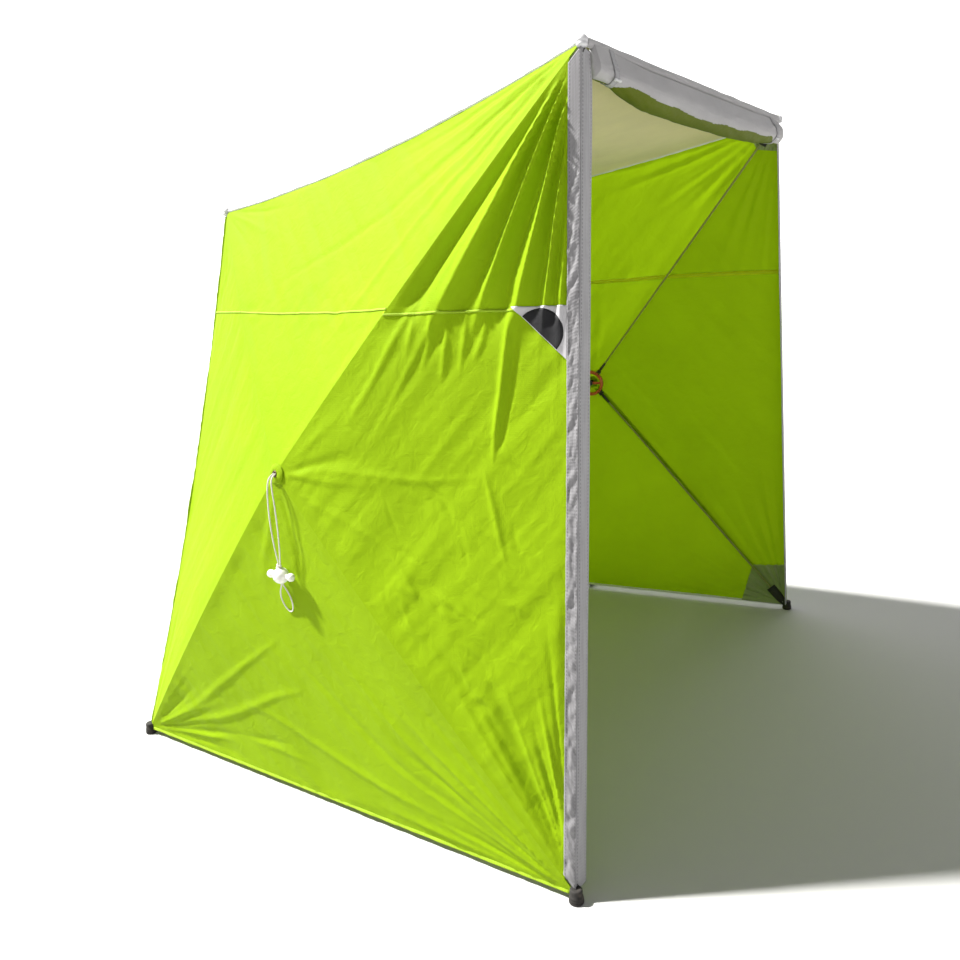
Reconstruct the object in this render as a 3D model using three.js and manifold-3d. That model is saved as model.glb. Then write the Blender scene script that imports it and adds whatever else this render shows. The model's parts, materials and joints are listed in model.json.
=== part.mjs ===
// Pop-up work tent: three hub-and-rod fabric walls, a cloth roof and an open front with its door rolled up.
// Millimetres, +Z up, the open front faces -Y and the tent's left wall is at -X.
// Each wall is four triangular facets that meet at a hub, which four rods push outwards to tension the cloth.
import * as THREE from "three";
import { mergeVertices } from "three/addons/utils/BufferGeometryUtils.js";
import Module from "manifold-3d";

// ---- driving dimensions ------------------------------------------------------------------------------
const FRONT_HEIGHT = 1980;
const REAR_HEIGHT = 1750;
const HEM_LIFT = 20; // height of the bottom edge lines above the ground
const SIDE_POP = 248; // how far a side wall's hub stands out of the plane of its wall
const REAR_POP = 190;
const CLOTH = 3; // thickness of the stand-in for the cloth
const ROOF_SAG = 30; // dip of the roof's side edges halfway along
const EDGE_SETBACK = 12; // cloth to the edge line that it hinges about
const ROOF_SETBACK = 18; // roof cloth to its edge lines, clear of the corner caps
const BINDING_RADIUS = 5;
const BOOT_CLEAR = 42; // cloth and bindings stop this far from a corner
const CREASE_GAP = 34; // half gap between two facets at the hub, which they need at mid travel
const TWISTED_CREASE_GAP = 48; // the same on the left wall, whose corners lie further out of one plane
const HUB_CLEAR = 92; // facets stop this far from the hub's centre
const HUB_DEPTH = 28; // hub ring's centre behind the meeting point of the facets
const RING_RADIUS = 52;
const RING_TUBE = 7;
const HUB_BRIDGE = { width: 11, thickness: 6 }; // bar across the ring
const HUB_POST = { topRadius: 7, bottomRadius: 9, short: 2 }; // stops short of the cloth
const SOCKET_RADIUS = 8;
const ROD_RADIUS = 5;
const PIN_CLEAR = 2; // rod end to its hinge pin
const ROD_DEPTH = 14; // rod axis behind the crease at the corner
const ROD_SHORT = 74; // rod end to the corner: it slides outwards at mid travel
const KNUCKLE_REACH = 66; // hub centre to a rod's hinge pin
const SIDE_TAPE = 24; // width of the front left post's tape on the wall side
const POST_TAPE = 46; // width of its tape on the doorway side
const RIGHT_POST_TAPE = 30;
const TAPE_THICK = 3;
const TAPE_GAP = 3; // tape to the edge line it runs beside
const TAPE_CLEAR = 74; // tape end to the corner, clear of the creases
const HEADER = { height: 24, depth: 14 };
const ROLL = { radius: 42, drop: 60, sag: 16, endGap: 62 }; // the rolled-up door under the header
const TOGGLE = { innerRadius: 44.5, thickness: 2.5, width: 22, inset: 70 };
const CAP_RADIUS = 14; // top corner caps
const FOOT = { topRadius: 15, bottomRadius: 19, height: 36 };
const SEAM_HEIGHT = 1405; // where the two cloth widths of a wall are sewn together
const BADGE = { width: 134, height: 126, thickness: 1.5, gap: 0.5 };
const STAKE_LOOP = { length: 46, width: 26, thickness: 3, height: 8 };
const CORD_RADIUS = 2;
const BALL = { radius: 23, drop: 280, lift: 29 };
const CONTACT_GAP = 0.4;
const TUBE_SIDES = 8; // sides of cords, bindings and the hub ring's section
const ROD_SIDES = 10;
const BOOT_SIDES = 16;
const LOOP_SIDES = 20;
const RING_SIDES = 24;
const ROLL_SIDES = 12;
const EDGE_STEPS = 10; // straight pieces that a dipping edge is split into
const CORD_STEPS = 24;

// Corners of the pitched tent, where the rods end: it stands a little askew, as cloth shelters do.
const corner = {
  frontLeftTop: new THREE.Vector3(-725, 60, FRONT_HEIGHT),
  frontRightTop: new THREE.Vector3(825, -30, FRONT_HEIGHT),
  rearLeftTop: new THREE.Vector3(-395, 1560, REAR_HEIGHT),
  rearRightTop: new THREE.Vector3(595, 1630, REAR_HEIGHT),
  frontLeftFoot: new THREE.Vector3(-1035, 0, HEM_LIFT),
  frontRightFoot: new THREE.Vector3(1035, -60, HEM_LIFT),
  rearLeftFoot: new THREE.Vector3(-925, 1670, HEM_LIFT),
  rearRightFoot: new THREE.Vector3(885, 1730, HEM_LIFT),
};
const MIDDLE = Object.values(corner)
  .reduce((sum, point) => sum.add(point), new THREE.Vector3())
  .divideScalar(8);

// ---- materials ---------------------------------------------------------------------------------------
const finish = (color, roughness) => new THREE.MeshStandardMaterial({ color, roughness });
const lime = () => finish(0xb4ee14, 0.75);
const whiteCloth = () => finish(0xd9d8d4, 0.8);
const creamCloth = () => finish(0xcfcb9e, 0.8);
const greyTape = () => finish(0xb9b6b8, 0.85);
const darkRod = () => finish(0x4a4238, 0.45);
const blackRubber = () => finish(0x24221f, 0.7);
const redPlastic = () => finish(0xa8432c, 0.5);
const whitePlastic = () => finish(0xeceae4, 0.4);
const cordCloth = () => finish(0xdedbd2, 0.9);

const tent = new THREE.Group();

function addMesh(name, geometry, material) {
  const mesh = new THREE.Mesh(geometry, material);
  mesh.name = name;
  tent.add(mesh);
  return mesh;
}

// Places a geometry's own x, y and z axes along three unit vectors at an origin.
function orient(mesh, xAxis, yAxis, zAxis, origin) {
  mesh.quaternion.setFromRotationMatrix(new THREE.Matrix4().makeBasis(xAxis, yAxis, zAxis));
  mesh.position.copy(origin);
}

// The direction from one place to another, and a place moved some way along a direction.
const toward = (from, to) => to.clone().sub(from).normalize();
const along = (point, direction, distance) => point.clone().addScaledVector(direction, distance);

// A flat plate whose outline is given in its own plane, with its outer face on that plane.
function plateGeometry(shape, thickness) {
  const options = { depth: thickness, bevelEnabled: false, curveSegments: EDGE_STEPS };
  return new THREE.ExtrudeGeometry(shape, options).translate(0, 0, -thickness);
}

// ---- tubes and bindings ------------------------------------------------------------------------------
function addTube(name, points, radius, sides, steps, material) {
  const section = new THREE.Shape();
  for (let i = 0; i < sides; i += 1) {
    const angle = (2 * Math.PI * i) / sides;
    const [x, y] = [radius * Math.cos(angle), radius * Math.sin(angle)];
    if (i === 0) section.moveTo(x, y);
    else section.lineTo(x, y);
  }
  section.closePath();
  const path = points.length === 2 ? new THREE.LineCurve3(...points) : new THREE.CatmullRomCurve3(points);
  return addMesh(name, new THREE.ExtrudeGeometry(section, { steps, extrudePath: path }), material);
}

// An edge line that dips by sag halfway along, as a list of points that stops short of both corners.
function edgePoints(from, to, sag) {
  const run = toward(from, to);
  const length = from.distanceTo(to);
  const count = sag === 0 ? 1 : EDGE_STEPS;
  return Array.from({ length: count + 1 }, (_, i) => {
    const at = BOOT_CLEAR + ((length - 2 * BOOT_CLEAR) * i) / count;
    const t = at / length;
    return along(from, run, at).add(new THREE.Vector3(0, 0, -4 * sag * t * (1 - t)));
  });
}

function addBinding(name, from, to, sag, material) {
  const steps = sag === 0 ? 1 : EDGE_STEPS;
  return addTube(name, edgePoints(from, to, sag), BINDING_RADIUS, TUBE_SIDES, steps, material);
}

// ---- hub walls ---------------------------------------------------------------------------------------
// Keeps the part of a convex outline where normal . point >= limit.
function clip(outline, normal, limit) {
  const kept = [];
  outline.forEach((point, i) => {
    const next = outline[(i + 1) % outline.length];
    const here = point.dot(normal) - limit;
    const there = next.dot(normal) - limit;
    if (here >= 0) kept.push(point);
    if (here * there < 0) kept.push(point.clone().lerp(next, here / (here - there)));
  });
  return kept;
}

// A facet's own frame: x runs along its outer edge, y towards the hub point and z outwards.
function facetFrame(from, to, apex) {
  const xAxis = toward(from, to);
  const apexX = apex.clone().sub(from).dot(xAxis);
  const foot = along(from, xAxis, apexX);
  const yAxis = toward(foot, apex);
  const zAxis = new THREE.Vector3().crossVectors(xAxis, yAxis);
  const hub = new THREE.Vector2(apexX, apex.distanceTo(foot));
  return { xAxis, yAxis, zAxis, length: from.distanceTo(to), hub };
}

// One triangular facet between two corners and the hub point.
function addFacet(name, from, to, apex, creaseGap, sag, setback) {
  const { xAxis, yAxis, zAxis, length, hub } = facetFrame(from, to, apex);
  const base = new THREE.Vector2(0, 0);
  const tip = new THREE.Vector2(length, 0);
  let outline = [base, tip, hub];
  outline = clip(outline, new THREE.Vector2(0, 1), setback);
  outline = clip(outline, new THREE.Vector2(1, 0), BOOT_CLEAR);
  outline = clip(outline, new THREE.Vector2(-1, 0), BOOT_CLEAR - length);
  outline = clip(outline, new THREE.Vector2(0, -1), HUB_CLEAR - hub.y);
  // The gap along each crease is nothing at the corner and widest at the hub.
  for (const [end, side] of [[base, 1], [tip, -1]]) {
    const crease = hub.clone().sub(end);
    const square = new THREE.Vector2(side * crease.y, -side * crease.x).normalize();
    const inner = hub.clone().addScaledVector(square, creaseGap).sub(end);
    const normal = new THREE.Vector2(side * inner.y, -side * inner.x).normalize();
    outline = clip(outline, normal, normal.dot(end));
  }
  const first = outline.findIndex((point, i) => {
    const next = outline[(i + 1) % outline.length];
    return Math.abs(point.y - setback) < 1e-6 && Math.abs(next.y - setback) < 1e-6;
  });
  const ring = outline.map((_, i) => outline[(first + i) % outline.length]);
  const shape = new THREE.Shape();
  shape.moveTo(ring[0].x, ring[0].y);
  shape.quadraticCurveTo((ring[0].x + ring[1].x) / 2, setback + 2 * sag, ring[1].x, ring[1].y);
  ring.slice(2).forEach((point) => shape.lineTo(point.x, point.y));
  shape.closePath();
  orient(addMesh(name, plateGeometry(shape, CLOTH), lime()), xAxis, yAxis, zAxis, from);
}

// ---- solid joining -----------------------------------------------------------------------------------
const wasm = await Module();
wasm.setup();

function toSolid(geometry) {
  const bare = geometry.clone();
  bare.deleteAttribute("normal");
  bare.deleteAttribute("uv");
  const merged = mergeVertices(bare, 1e-4);
  const vertProperties = new Float32Array(merged.attributes.position.array);
  return new wasm.Manifold(new wasm.Mesh({ numProp: 3, vertProperties, triVerts: merged.index.array }));
}

function toGeometry(solid) {
  const { vertProperties, triVerts } = solid.getMesh();
  const geometry = new THREE.BufferGeometry();
  geometry.setAttribute("position", new THREE.BufferAttribute(vertProperties, 3));
  geometry.setIndex(new THREE.BufferAttribute(triVerts, 1));
  return geometry;
}

// The hub in its own frame, +Z outwards: a ring, a bridge with a post for the pull cord, and rod sockets.
function hubGeometry(socketAngles) {
  const profile = [];
  for (let i = 0; i <= TUBE_SIDES; i += 1) {
    const angle = (2 * Math.PI * i) / TUBE_SIDES;
    const [out, up] = [RING_TUBE * Math.cos(angle), RING_TUBE * Math.sin(angle)];
    profile.push(new THREE.Vector2(RING_RADIUS + out, up));
  }
  const { topRadius, bottomRadius, short } = HUB_POST;
  const postHeight = HUB_DEPTH - short;
  const bridge = new THREE.BoxGeometry(2 * RING_RADIUS, HUB_BRIDGE.width, HUB_BRIDGE.thickness);
  const post = new THREE.CylinderGeometry(topRadius, bottomRadius, postHeight, ROD_SIDES);
  let solid = toSolid(new THREE.LatheGeometry(profile, RING_SIDES).rotateX(Math.PI / 2));
  solid = solid.add(toSolid(bridge));
  solid = solid.add(toSolid(post.rotateX(Math.PI / 2).translate(0, 0, postHeight / 2)));
  const socketLength = KNUCKLE_REACH - RING_RADIUS;
  for (const angle of socketAngles) {
    const socket = new THREE.CylinderGeometry(SOCKET_RADIUS, SOCKET_RADIUS, socketLength, ROD_SIDES);
    socket.rotateZ(Math.PI / 2).translate((KNUCKLE_REACH + RING_RADIUS) / 2, 0, 0).rotateZ(angle);
    solid = solid.add(toSolid(socket));
  }
  return toGeometry(solid);
}

function wallFrame(wall) {
  const [a, b, c, d] = wall.corners.map((name) => corner[name]);
  const centre = a.clone().add(b).add(c).add(d).divideScalar(4);
  const normal = new THREE.Vector3().crossVectors(c.clone().sub(a), d.clone().sub(b)).normalize();
  if (normal.dot(centre.clone().sub(MIDDLE)) < 0) normal.negate();
  return { centre, normal, apex: along(centre, normal, wall.pop) };
}

function addWall(wall) {
  const { normal, apex } = wallFrame(wall);
  const hubCentre = along(apex, normal, -HUB_DEPTH);
  const up = new THREE.Vector3(0, 0, 1).projectOnPlane(normal).normalize();
  const side = new THREE.Vector3().crossVectors(up, normal);
  wall.edges.forEach(({ part, from, to, sag, setback }) => {
    addFacet(`${wall.name}_${part}_facet`, corner[from], corner[to], apex, wall.creaseGap, sag, setback);
  });
  const socketAngles = wall.corners.map((name, i) => {
    const target = along(corner[name], normal, -ROD_DEPTH);
    const flat = target.clone().sub(hubCentre).projectOnPlane(normal).normalize();
    const pin = along(hubCentre, flat, KNUCKLE_REACH);
    const run = toward(pin, target);
    const ends = [along(pin, run, PIN_CLEAR), along(target, run, -ROD_SHORT)];
    addTube(`${wall.name}_${wall.rodNames[i]}_rod`, ends, ROD_RADIUS, ROD_SIDES, 1, darkRod());
    return Math.atan2(flat.dot(up), flat.dot(side));
  });
  orient(addMesh(`${wall.name}_hub`, hubGeometry(socketAngles), redPlastic()), side, up, normal, hubCentre);
}

const edge = (part, from, to, sag = 0, setback = EDGE_SETBACK) => ({ part, from, to, sag, setback });

const walls = [
  {
    name: "left",
    pop: SIDE_POP,
    creaseGap: TWISTED_CREASE_GAP,
    corners: ["frontLeftTop", "rearLeftTop", "rearLeftFoot", "frontLeftFoot"],
    rodNames: ["front_upper", "rear_upper", "rear_lower", "front_lower"],
    edges: [
      edge("top", "frontLeftTop", "rearLeftTop", ROOF_SAG),
      edge("rear", "rearLeftTop", "rearLeftFoot"),
      edge("bottom", "rearLeftFoot", "frontLeftFoot"),
      edge("front", "frontLeftFoot", "frontLeftTop", 0, SIDE_TAPE + EDGE_SETBACK),
    ],
  },
  {
    name: "right",
    pop: SIDE_POP,
    creaseGap: CREASE_GAP,
    corners: ["rearRightTop", "frontRightTop", "frontRightFoot", "rearRightFoot"],
    rodNames: ["rear_upper", "front_upper", "front_lower", "rear_lower"],
    edges: [
      edge("top", "rearRightTop", "frontRightTop", ROOF_SAG),
      edge("front", "frontRightTop", "frontRightFoot"),
      edge("bottom", "frontRightFoot", "rearRightFoot"),
      edge("rear", "rearRightFoot", "rearRightTop"),
    ],
  },
  {
    name: "rear",
    pop: REAR_POP,
    creaseGap: CREASE_GAP,
    corners: ["rearLeftTop", "rearRightTop", "rearRightFoot", "rearLeftFoot"],
    rodNames: ["left_upper", "right_upper", "right_lower", "left_lower"],
    edges: [
      edge("top", "rearLeftTop", "rearRightTop"),
      edge("right", "rearRightTop", "rearRightFoot"),
      edge("bottom", "rearRightFoot", "rearLeftFoot"),
      edge("left", "rearLeftFoot", "rearLeftTop"),
    ],
  },
];
walls.forEach(addWall);

// ---- roof --------------------------------------------------------------------------------------------
// A box whose vertices are spread between four corners, so that its top is the roof's sagging sheet.
function addRoof() {
  const { frontLeftTop, frontRightTop, rearLeftTop, rearRightTop } = corner;
  const geometry = new THREE.BoxGeometry(1, 1, 1, 1, EDGE_STEPS, 1);
  const position = geometry.attributes.position;
  const vertex = new THREE.Vector3();
  const inset = (share, length) => (ROOF_SETBACK + share * (length - 2 * ROOF_SETBACK)) / length;
  for (let i = 0; i < position.count; i += 1) {
    vertex.fromBufferAttribute(position, i);
    const t = inset(vertex.y + 0.5, frontLeftTop.distanceTo(rearLeftTop));
    const left = frontLeftTop.clone().lerp(rearLeftTop, t);
    const right = frontRightTop.clone().lerp(rearRightTop, t);
    const point = left.clone().lerp(right, inset(vertex.x + 0.5, left.distanceTo(right)));
    point.z += CLOTH * (vertex.z - 0.5) - 4 * ROOF_SAG * t * (1 - t);
    position.setXYZ(i, point.x, point.y, point.z);
  }
  addMesh("roof_panel", geometry, creamCloth());
}
addRoof();

// ---- edges -------------------------------------------------------------------------------------------
addBinding("roof_left_binding", corner.frontLeftTop, corner.rearLeftTop, ROOF_SAG, whiteCloth());
addBinding("roof_right_binding", corner.frontRightTop, corner.rearRightTop, ROOF_SAG, whiteCloth());
addBinding("roof_rear_binding", corner.rearLeftTop, corner.rearRightTop, 0, whiteCloth());
addBinding("rear_left_binding", corner.rearLeftFoot, corner.rearLeftTop, 0, lime());
addBinding("rear_right_binding", corner.rearRightFoot, corner.rearRightTop, 0, lime());
addBinding("left_hem", corner.frontLeftFoot, corner.rearLeftFoot, 0, whiteCloth());
addBinding("right_hem", corner.frontRightFoot, corner.rearRightFoot, 0, whiteCloth());
addBinding("rear_hem", corner.rearLeftFoot, corner.rearRightFoot, 0, whiteCloth());

// The front posts' tapes: a side band on the left wall, and face bands that look out of the doorway.
function addPostTape(name, foot, top, inward, width) {
  const run = toward(foot, top);
  const [from, to] = [along(foot, run, TAPE_CLEAR), along(top, run, -TAPE_CLEAR)];
  const across = inward.clone().projectOnPlane(run).normalize();
  const normal = new THREE.Vector3().crossVectors(run, across);
  const centre = along(from.clone().lerp(to, 0.5), across, TAPE_GAP + width / 2);
  const geometry = new THREE.BoxGeometry(from.distanceTo(to), width, TAPE_THICK);
  orient(addMesh(name, geometry, greyTape()), run, across, normal, centre);
}
const leftWall = wallFrame(walls[0]);
const intoLeftWall = leftWall.apex.clone().sub(corner.frontLeftFoot);
const acrossDoor = toward(corner.frontLeftFoot, corner.frontRightFoot);
addPostTape("front_left_side_tape", corner.frontLeftFoot, corner.frontLeftTop, intoLeftWall, SIDE_TAPE);
addPostTape("front_left_face_tape", corner.frontLeftFoot, corner.frontLeftTop, acrossDoor, POST_TAPE);
const intoDoor = acrossDoor.clone().negate();
addPostTape("front_right_face_tape", corner.frontRightFoot, corner.frontRightTop, intoDoor, RIGHT_POST_TAPE);

// ---- header, rolled-up door and its toggle loops -----------------------------------------------------
const UP = new THREE.Vector3(0, 0, 1);
const headerRun = toward(corner.frontLeftTop, corner.frontRightTop);
const headerLength = corner.frontLeftTop.distanceTo(corner.frontRightTop);
const headerSide = new THREE.Vector3().crossVectors(UP, headerRun);

function addHeader() {
  const geometry = new THREE.BoxGeometry(headerLength - 2 * BOOT_CLEAR, HEADER.depth, HEADER.height);
  const centre = corner.frontLeftTop.clone().lerp(corner.frontRightTop, 0.5);
  orient(addMesh("header_band", geometry, whiteCloth()), headerRun, headerSide, UP, centre);
}
addHeader();

// A place on the roll's axis, at a distance from the front left corner.
function rollPoint(at) {
  const t = at / headerLength;
  return along(corner.frontLeftTop, headerRun, at).add(
    new THREE.Vector3(0, 0, -ROLL.drop - 4 * ROLL.sag * t * (1 - t)),
  );
}
const rollStops = [0, 0.25, 0.5, 0.75, 1].map((t) => ROLL.endGap + t * (headerLength - 2 * ROLL.endGap));
addTube("door_roll", rollStops.map(rollPoint), ROLL.radius, ROLL_SIDES, EDGE_STEPS, whiteCloth());

function addToggle(name, at) {
  const inner = TOGGLE.innerRadius;
  const outer = inner + TOGGLE.thickness;
  const half = TOGGLE.width / 2;
  const section = [[inner, -half], [outer, -half], [outer, half], [inner, half], [inner, -half]];
  const profile = section.map(([radius, height]) => new THREE.Vector2(radius, height));
  const mesh = addMesh(name, new THREE.LatheGeometry(profile, LOOP_SIDES), greyTape());
  const run = toward(rollPoint(at - half), rollPoint(at + half));
  mesh.quaternion.setFromUnitVectors(new THREE.Vector3(0, 1, 0), run);
  mesh.position.copy(rollPoint(at));
}
addToggle("left_toggle_loop", ROLL.endGap + TOGGLE.inset);
addToggle("right_toggle_loop", headerLength - ROLL.endGap - TOGGLE.inset);

// ---- corner boots ------------------------------------------------------------------------------------
for (const name of ["frontLeft", "frontRight", "rearLeft", "rearRight"]) {
  const label = name.replace(/[LR]/, (letter) => `_${letter.toLowerCase()}`);
  const foot = new THREE.CylinderGeometry(FOOT.topRadius, FOOT.bottomRadius, FOOT.height, BOOT_SIDES);
  const cap = new THREE.SphereGeometry(CAP_RADIUS, BOOT_SIDES, BOOT_SIDES / 2);
  const { x, y } = corner[`${name}Foot`];
  addMesh(`${label}_foot`, foot.rotateX(Math.PI / 2), blackRubber()).position.set(x, y, FOOT.height / 2);
  addMesh(`${label}_cap`, cap, whiteCloth()).position.copy(corner[`${name}Top`]);
}

// ---- stake loops at the middle of the right and rear hems --------------------------------------------
for (const [side, from, to] of [
  ["right", "frontRightFoot", "rearRightFoot"],
  ["rear", "rearLeftFoot", "rearRightFoot"],
]) {
  const middle = corner[from].clone().lerp(corner[to], 0.5);
  const run = toward(corner[from], corner[to]);
  const outward = new THREE.Vector3().crossVectors(UP, run);
  if (outward.dot(middle.clone().sub(MIDDLE)) < 0) outward.negate();
  const centre = along(middle, outward, BINDING_RADIUS + 1 + STAKE_LOOP.length / 2).setZ(STAKE_LOOP.height);
  const across = new THREE.Vector3().crossVectors(UP, outward);
  const geometry = new THREE.BoxGeometry(STAKE_LOOP.length, STAKE_LOOP.width, STAKE_LOOP.thickness);
  orient(addMesh(`${side}_stake_loop`, geometry, blackRubber()), outward, across, UP, centre);
}

// ---- badge patch on the left wall --------------------------------------------------------------------
function addBadge() {
  const { frontLeftFoot: from, frontLeftTop: to } = corner;
  const { xAxis, yAxis, zAxis } = facetFrame(from, to, leftWall.apex);
  const top = (SEAM_HEIGHT - from.z) / xAxis.z;
  const side = SIDE_TAPE + EDGE_SETBACK + BADGE.gap;
  const shape = new THREE.Shape();
  shape.moveTo(top, side);
  shape.lineTo(top, side + BADGE.width);
  shape.lineTo(top - BADGE.height, side);
  shape.closePath();
  const geometry = plateGeometry(shape, BADGE.thickness).translate(0, 0, BADGE.thickness + BADGE.gap);
  orient(addMesh("badge_patch", geometry, whiteCloth()), xAxis, yAxis, zAxis, from);
}
addBadge();

// ---- pull cord and ball of the left hub --------------------------------------------------------------
// Its frame: x sideways along the wall, y down the bottom facet and z out of it, from the hub point.
const pull = facetFrame(corner.rearLeftFoot, corner.frontLeftFoot, leftWall.apex);
const pullDown = UP.clone().negate().projectOnPlane(pull.zAxis).normalize();
const pullSide = new THREE.Vector3().crossVectors(pullDown, pull.zAxis);
function pullPoint([side, down, out]) {
  return along(along(along(leftWall.apex, pullSide, side), pullDown, down), pull.zAxis, out);
}
const ballTop = BALL.drop - BALL.radius - CONTACT_GAP;
const ballBottom = BALL.drop + BALL.radius + CONTACT_GAP;
const mirrored = (points) => points.map(([side, down, out]) => [-side, down, out]);
const strand = [
  [4, 0, 1], [4, 2, 12], [6, 12, 21], [8, 34, 26], [9, 80, 28], [9, 140, 29], [7, 200, 29], [4, 240, 29],
  [4, ballTop, 29],
];
const handLoop = [
  [4, ballBottom, 29], [9, 318, 28], [19, 336, 25], [22, 356, 21], [16, 378, 16], [0, 389, 13],
];
const wholeLoop = [...handLoop, ...mirrored(handLoop).reverse().slice(1)];
const cordPieces = { front_strand: strand, rear_strand: mirrored(strand), hand_loop: wholeLoop };
for (const [label, route] of Object.entries(cordPieces)) {
  const points = route.map(pullPoint);
  addTube(`pull_cord_${label}`, points, CORD_RADIUS, TUBE_SIDES, CORD_STEPS, cordCloth());
}
const ball = new THREE.SphereGeometry(BALL.radius, BOOT_SIDES, BOOT_SIDES / 2);
addMesh("pull_ball", ball, whitePlastic()).position.copy(pullPoint([0, BALL.drop, BALL.lift]));

// ---- stand the tent on the middle of its footprint ---------------------------------------------------
tent.updateMatrixWorld(true);
const footprint = new THREE.Box3();
tent.children
  .filter((mesh) => !mesh.name.startsWith("pull_"))
  .forEach((mesh) => footprint.union(new THREE.Box3().setFromObject(mesh, true)));
const middle = footprint.getCenter(new THREE.Vector3());
tent.position.set(-middle.x, -middle.y, -footprint.min.z);
tent.updateMatrixWorld(true);

export default tent;
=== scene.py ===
import json
import math

import bmesh
import bpy
import numpy as np
from mathutils import Matrix, Vector


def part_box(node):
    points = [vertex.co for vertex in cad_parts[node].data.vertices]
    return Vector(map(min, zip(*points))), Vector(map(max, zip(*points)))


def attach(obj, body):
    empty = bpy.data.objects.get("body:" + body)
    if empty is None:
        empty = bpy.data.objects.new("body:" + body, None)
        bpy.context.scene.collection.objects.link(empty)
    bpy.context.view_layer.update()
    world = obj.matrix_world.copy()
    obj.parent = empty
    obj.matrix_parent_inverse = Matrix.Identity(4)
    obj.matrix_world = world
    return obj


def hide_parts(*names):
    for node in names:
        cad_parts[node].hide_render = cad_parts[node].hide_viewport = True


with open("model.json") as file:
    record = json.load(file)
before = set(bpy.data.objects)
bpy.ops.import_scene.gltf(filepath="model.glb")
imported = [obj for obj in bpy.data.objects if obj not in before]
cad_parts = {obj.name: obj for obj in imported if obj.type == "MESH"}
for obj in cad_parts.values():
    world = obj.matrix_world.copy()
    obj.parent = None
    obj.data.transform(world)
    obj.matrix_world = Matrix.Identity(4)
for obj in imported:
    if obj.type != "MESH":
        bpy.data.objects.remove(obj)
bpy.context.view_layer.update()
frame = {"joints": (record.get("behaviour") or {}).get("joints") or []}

# ---- sizes, in metres ----
HEM_LIFT = 0.020  # the cloth's lower corners above the ground
ROOF_SAG, REAR_EDGE_SAG, CREASE_BOW = 0.034, 0.020, 0.016
SEAM_HEIGHT = {"left": 1.412, "right": 1.436, "rear": 1.424}
SEAM_TAPE, SEAM_LAP, TAPE_THICKNESS = 0.016, 0.006, 0.0012
SIDE_TAPE, LEFT_POST_TAPE, RIGHT_POST_TAPE, TAPE_LAP = 0.024, 0.046, 0.030, 0.004
PATCH_REACH = {"front_right_foot": 0.19, "front_left_top": 0.055}
USUAL_PATCH_REACH = 0.11
HUB_DEPTH, PIN_RADIUS, ROD_TARGET_DEPTH = 0.028, 0.066, 0.014
ROD_RADIUS, ROD_START = 0.0040, 0.012
ROD_TIP = 0.022  # from the rod's end to the corner
CORD_DIAMETER, KNOT_CORD_RADIUS = 0.004, 0.0021
CHEEK_GAP = 0.0068  # from a rod's middle to the middle of each cheek beside it
PATCH_DEPTH, PATCH_THICKNESS = 0.0052, 0.0014  # the corner patches lie behind the cloth
STRIP_THICKNESS, POCKET_THICKNESS, STRAP_THICKNESS = 0.0008, 0.0016, 0.0018
SIDE_TAPE_THICKNESS, FACE_TAPE_THICKNESS = 0.0016, 0.0018
BADGE_LIFT, BADGE_THICKNESS, DISC_LIFT, DISC_THICKNESS = 0.0022, 0.0010, 0.0032, 0.0006
BADGE_WIDTH, BADGE_HEIGHT, DISC_RADIUS, DISC_OFFSET = 0.134, 0.126, 0.057, 0.0015
ROLL_DROP, ROLL_SAG, ROLL_END, TOGGLE_INSET, STRAP_WIDTH = 0.060, 0.016, 0.062, 0.070, 0.022
STAKE_LOOP_WIDTH, STAKE_LOOP_THICKNESS = 0.024, 0.0018
HEADER_RADIUS, ROLL_THIN, ROLL_THICK = 0.0105, 0.0240, 0.0385  # the roll is thin at its left end
COVER_LOOSE = 0.011  # how far the roof's cover stands off near its side edges
SEAM_INSIDE, SEAM_OUTSIDE = -0.0022, 0.0012  # the seam tapes' heights above the cloth
POCKET_LENGTH, POCKET_HALF_WIDTH, POCKET_BULGE = 0.092, 0.020, 0.0095
STRAP_LIFT, PEG_LIFT = 0.0022, 0.006  # above the door's roll
FINE_ROWS, COARSE_ROWS, PATCH_ROWS, BADGE_ROWS = 190, 110, 48, 36
UP = np.array([0.0, 0.0, 1.0])

# ---- camera and light ----
CAMERA_PLACE = (-2.684, -1.673, 1.478)
CAMERA_YAW, CAMERA_PITCH, CAMERA_ROLL = 58.631, -13.081, -3.327  # degrees, yaw from +Y towards +X
CAMERA_LENS, SENSOR_WIDTH = 32.61, 36.0  # millimetres
KEY_FROM = (-1.8, 5.0, 7.0)  # the key light comes from behind, on the left and high up
KEY_POWER, KEY_COLOR = 11.0, (1.0, 0.985, 0.95)
KEY_SOFTNESS = 4.0  # degrees across
AMBIENT = 0.32
FLOOR_DROP, FLOOR_SIZE = -0.0008, 70
SCREEN_DISTANCE, SCREEN_SIZE = 16.0, 46


def unit(v):
    v = np.asarray(v, float)
    return v / np.linalg.norm(v)


def square_to(direction, normal):
    """The unit direction nearest to one given that is square to a unit normal."""
    return unit(direction - normal * (direction @ normal))


def make_camera():
    yaw, pitch, roll = (math.radians(a) for a in (CAMERA_YAW, CAMERA_PITCH, CAMERA_ROLL))
    ahead = np.array([math.sin(yaw) * math.cos(pitch), math.cos(yaw) * math.cos(pitch), math.sin(pitch)])
    level = np.array([math.cos(yaw), -math.sin(yaw), 0.0])
    above = np.cross(level, ahead)
    right = math.cos(roll) * level + math.sin(roll) * above
    top = -math.sin(roll) * level + math.cos(roll) * above
    data = bpy.data.cameras.new("camera")
    data.sensor_width = SENSOR_WIDTH
    data.lens = CAMERA_LENS
    camera = bpy.data.objects.new("camera", data)
    bpy.context.collection.objects.link(camera)
    place = np.eye(4)
    place[:3] = np.column_stack([right, top, -ahead, CAMERA_PLACE])
    camera.matrix_world = Matrix(place.tolist())
    bpy.context.scene.camera = camera


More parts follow.
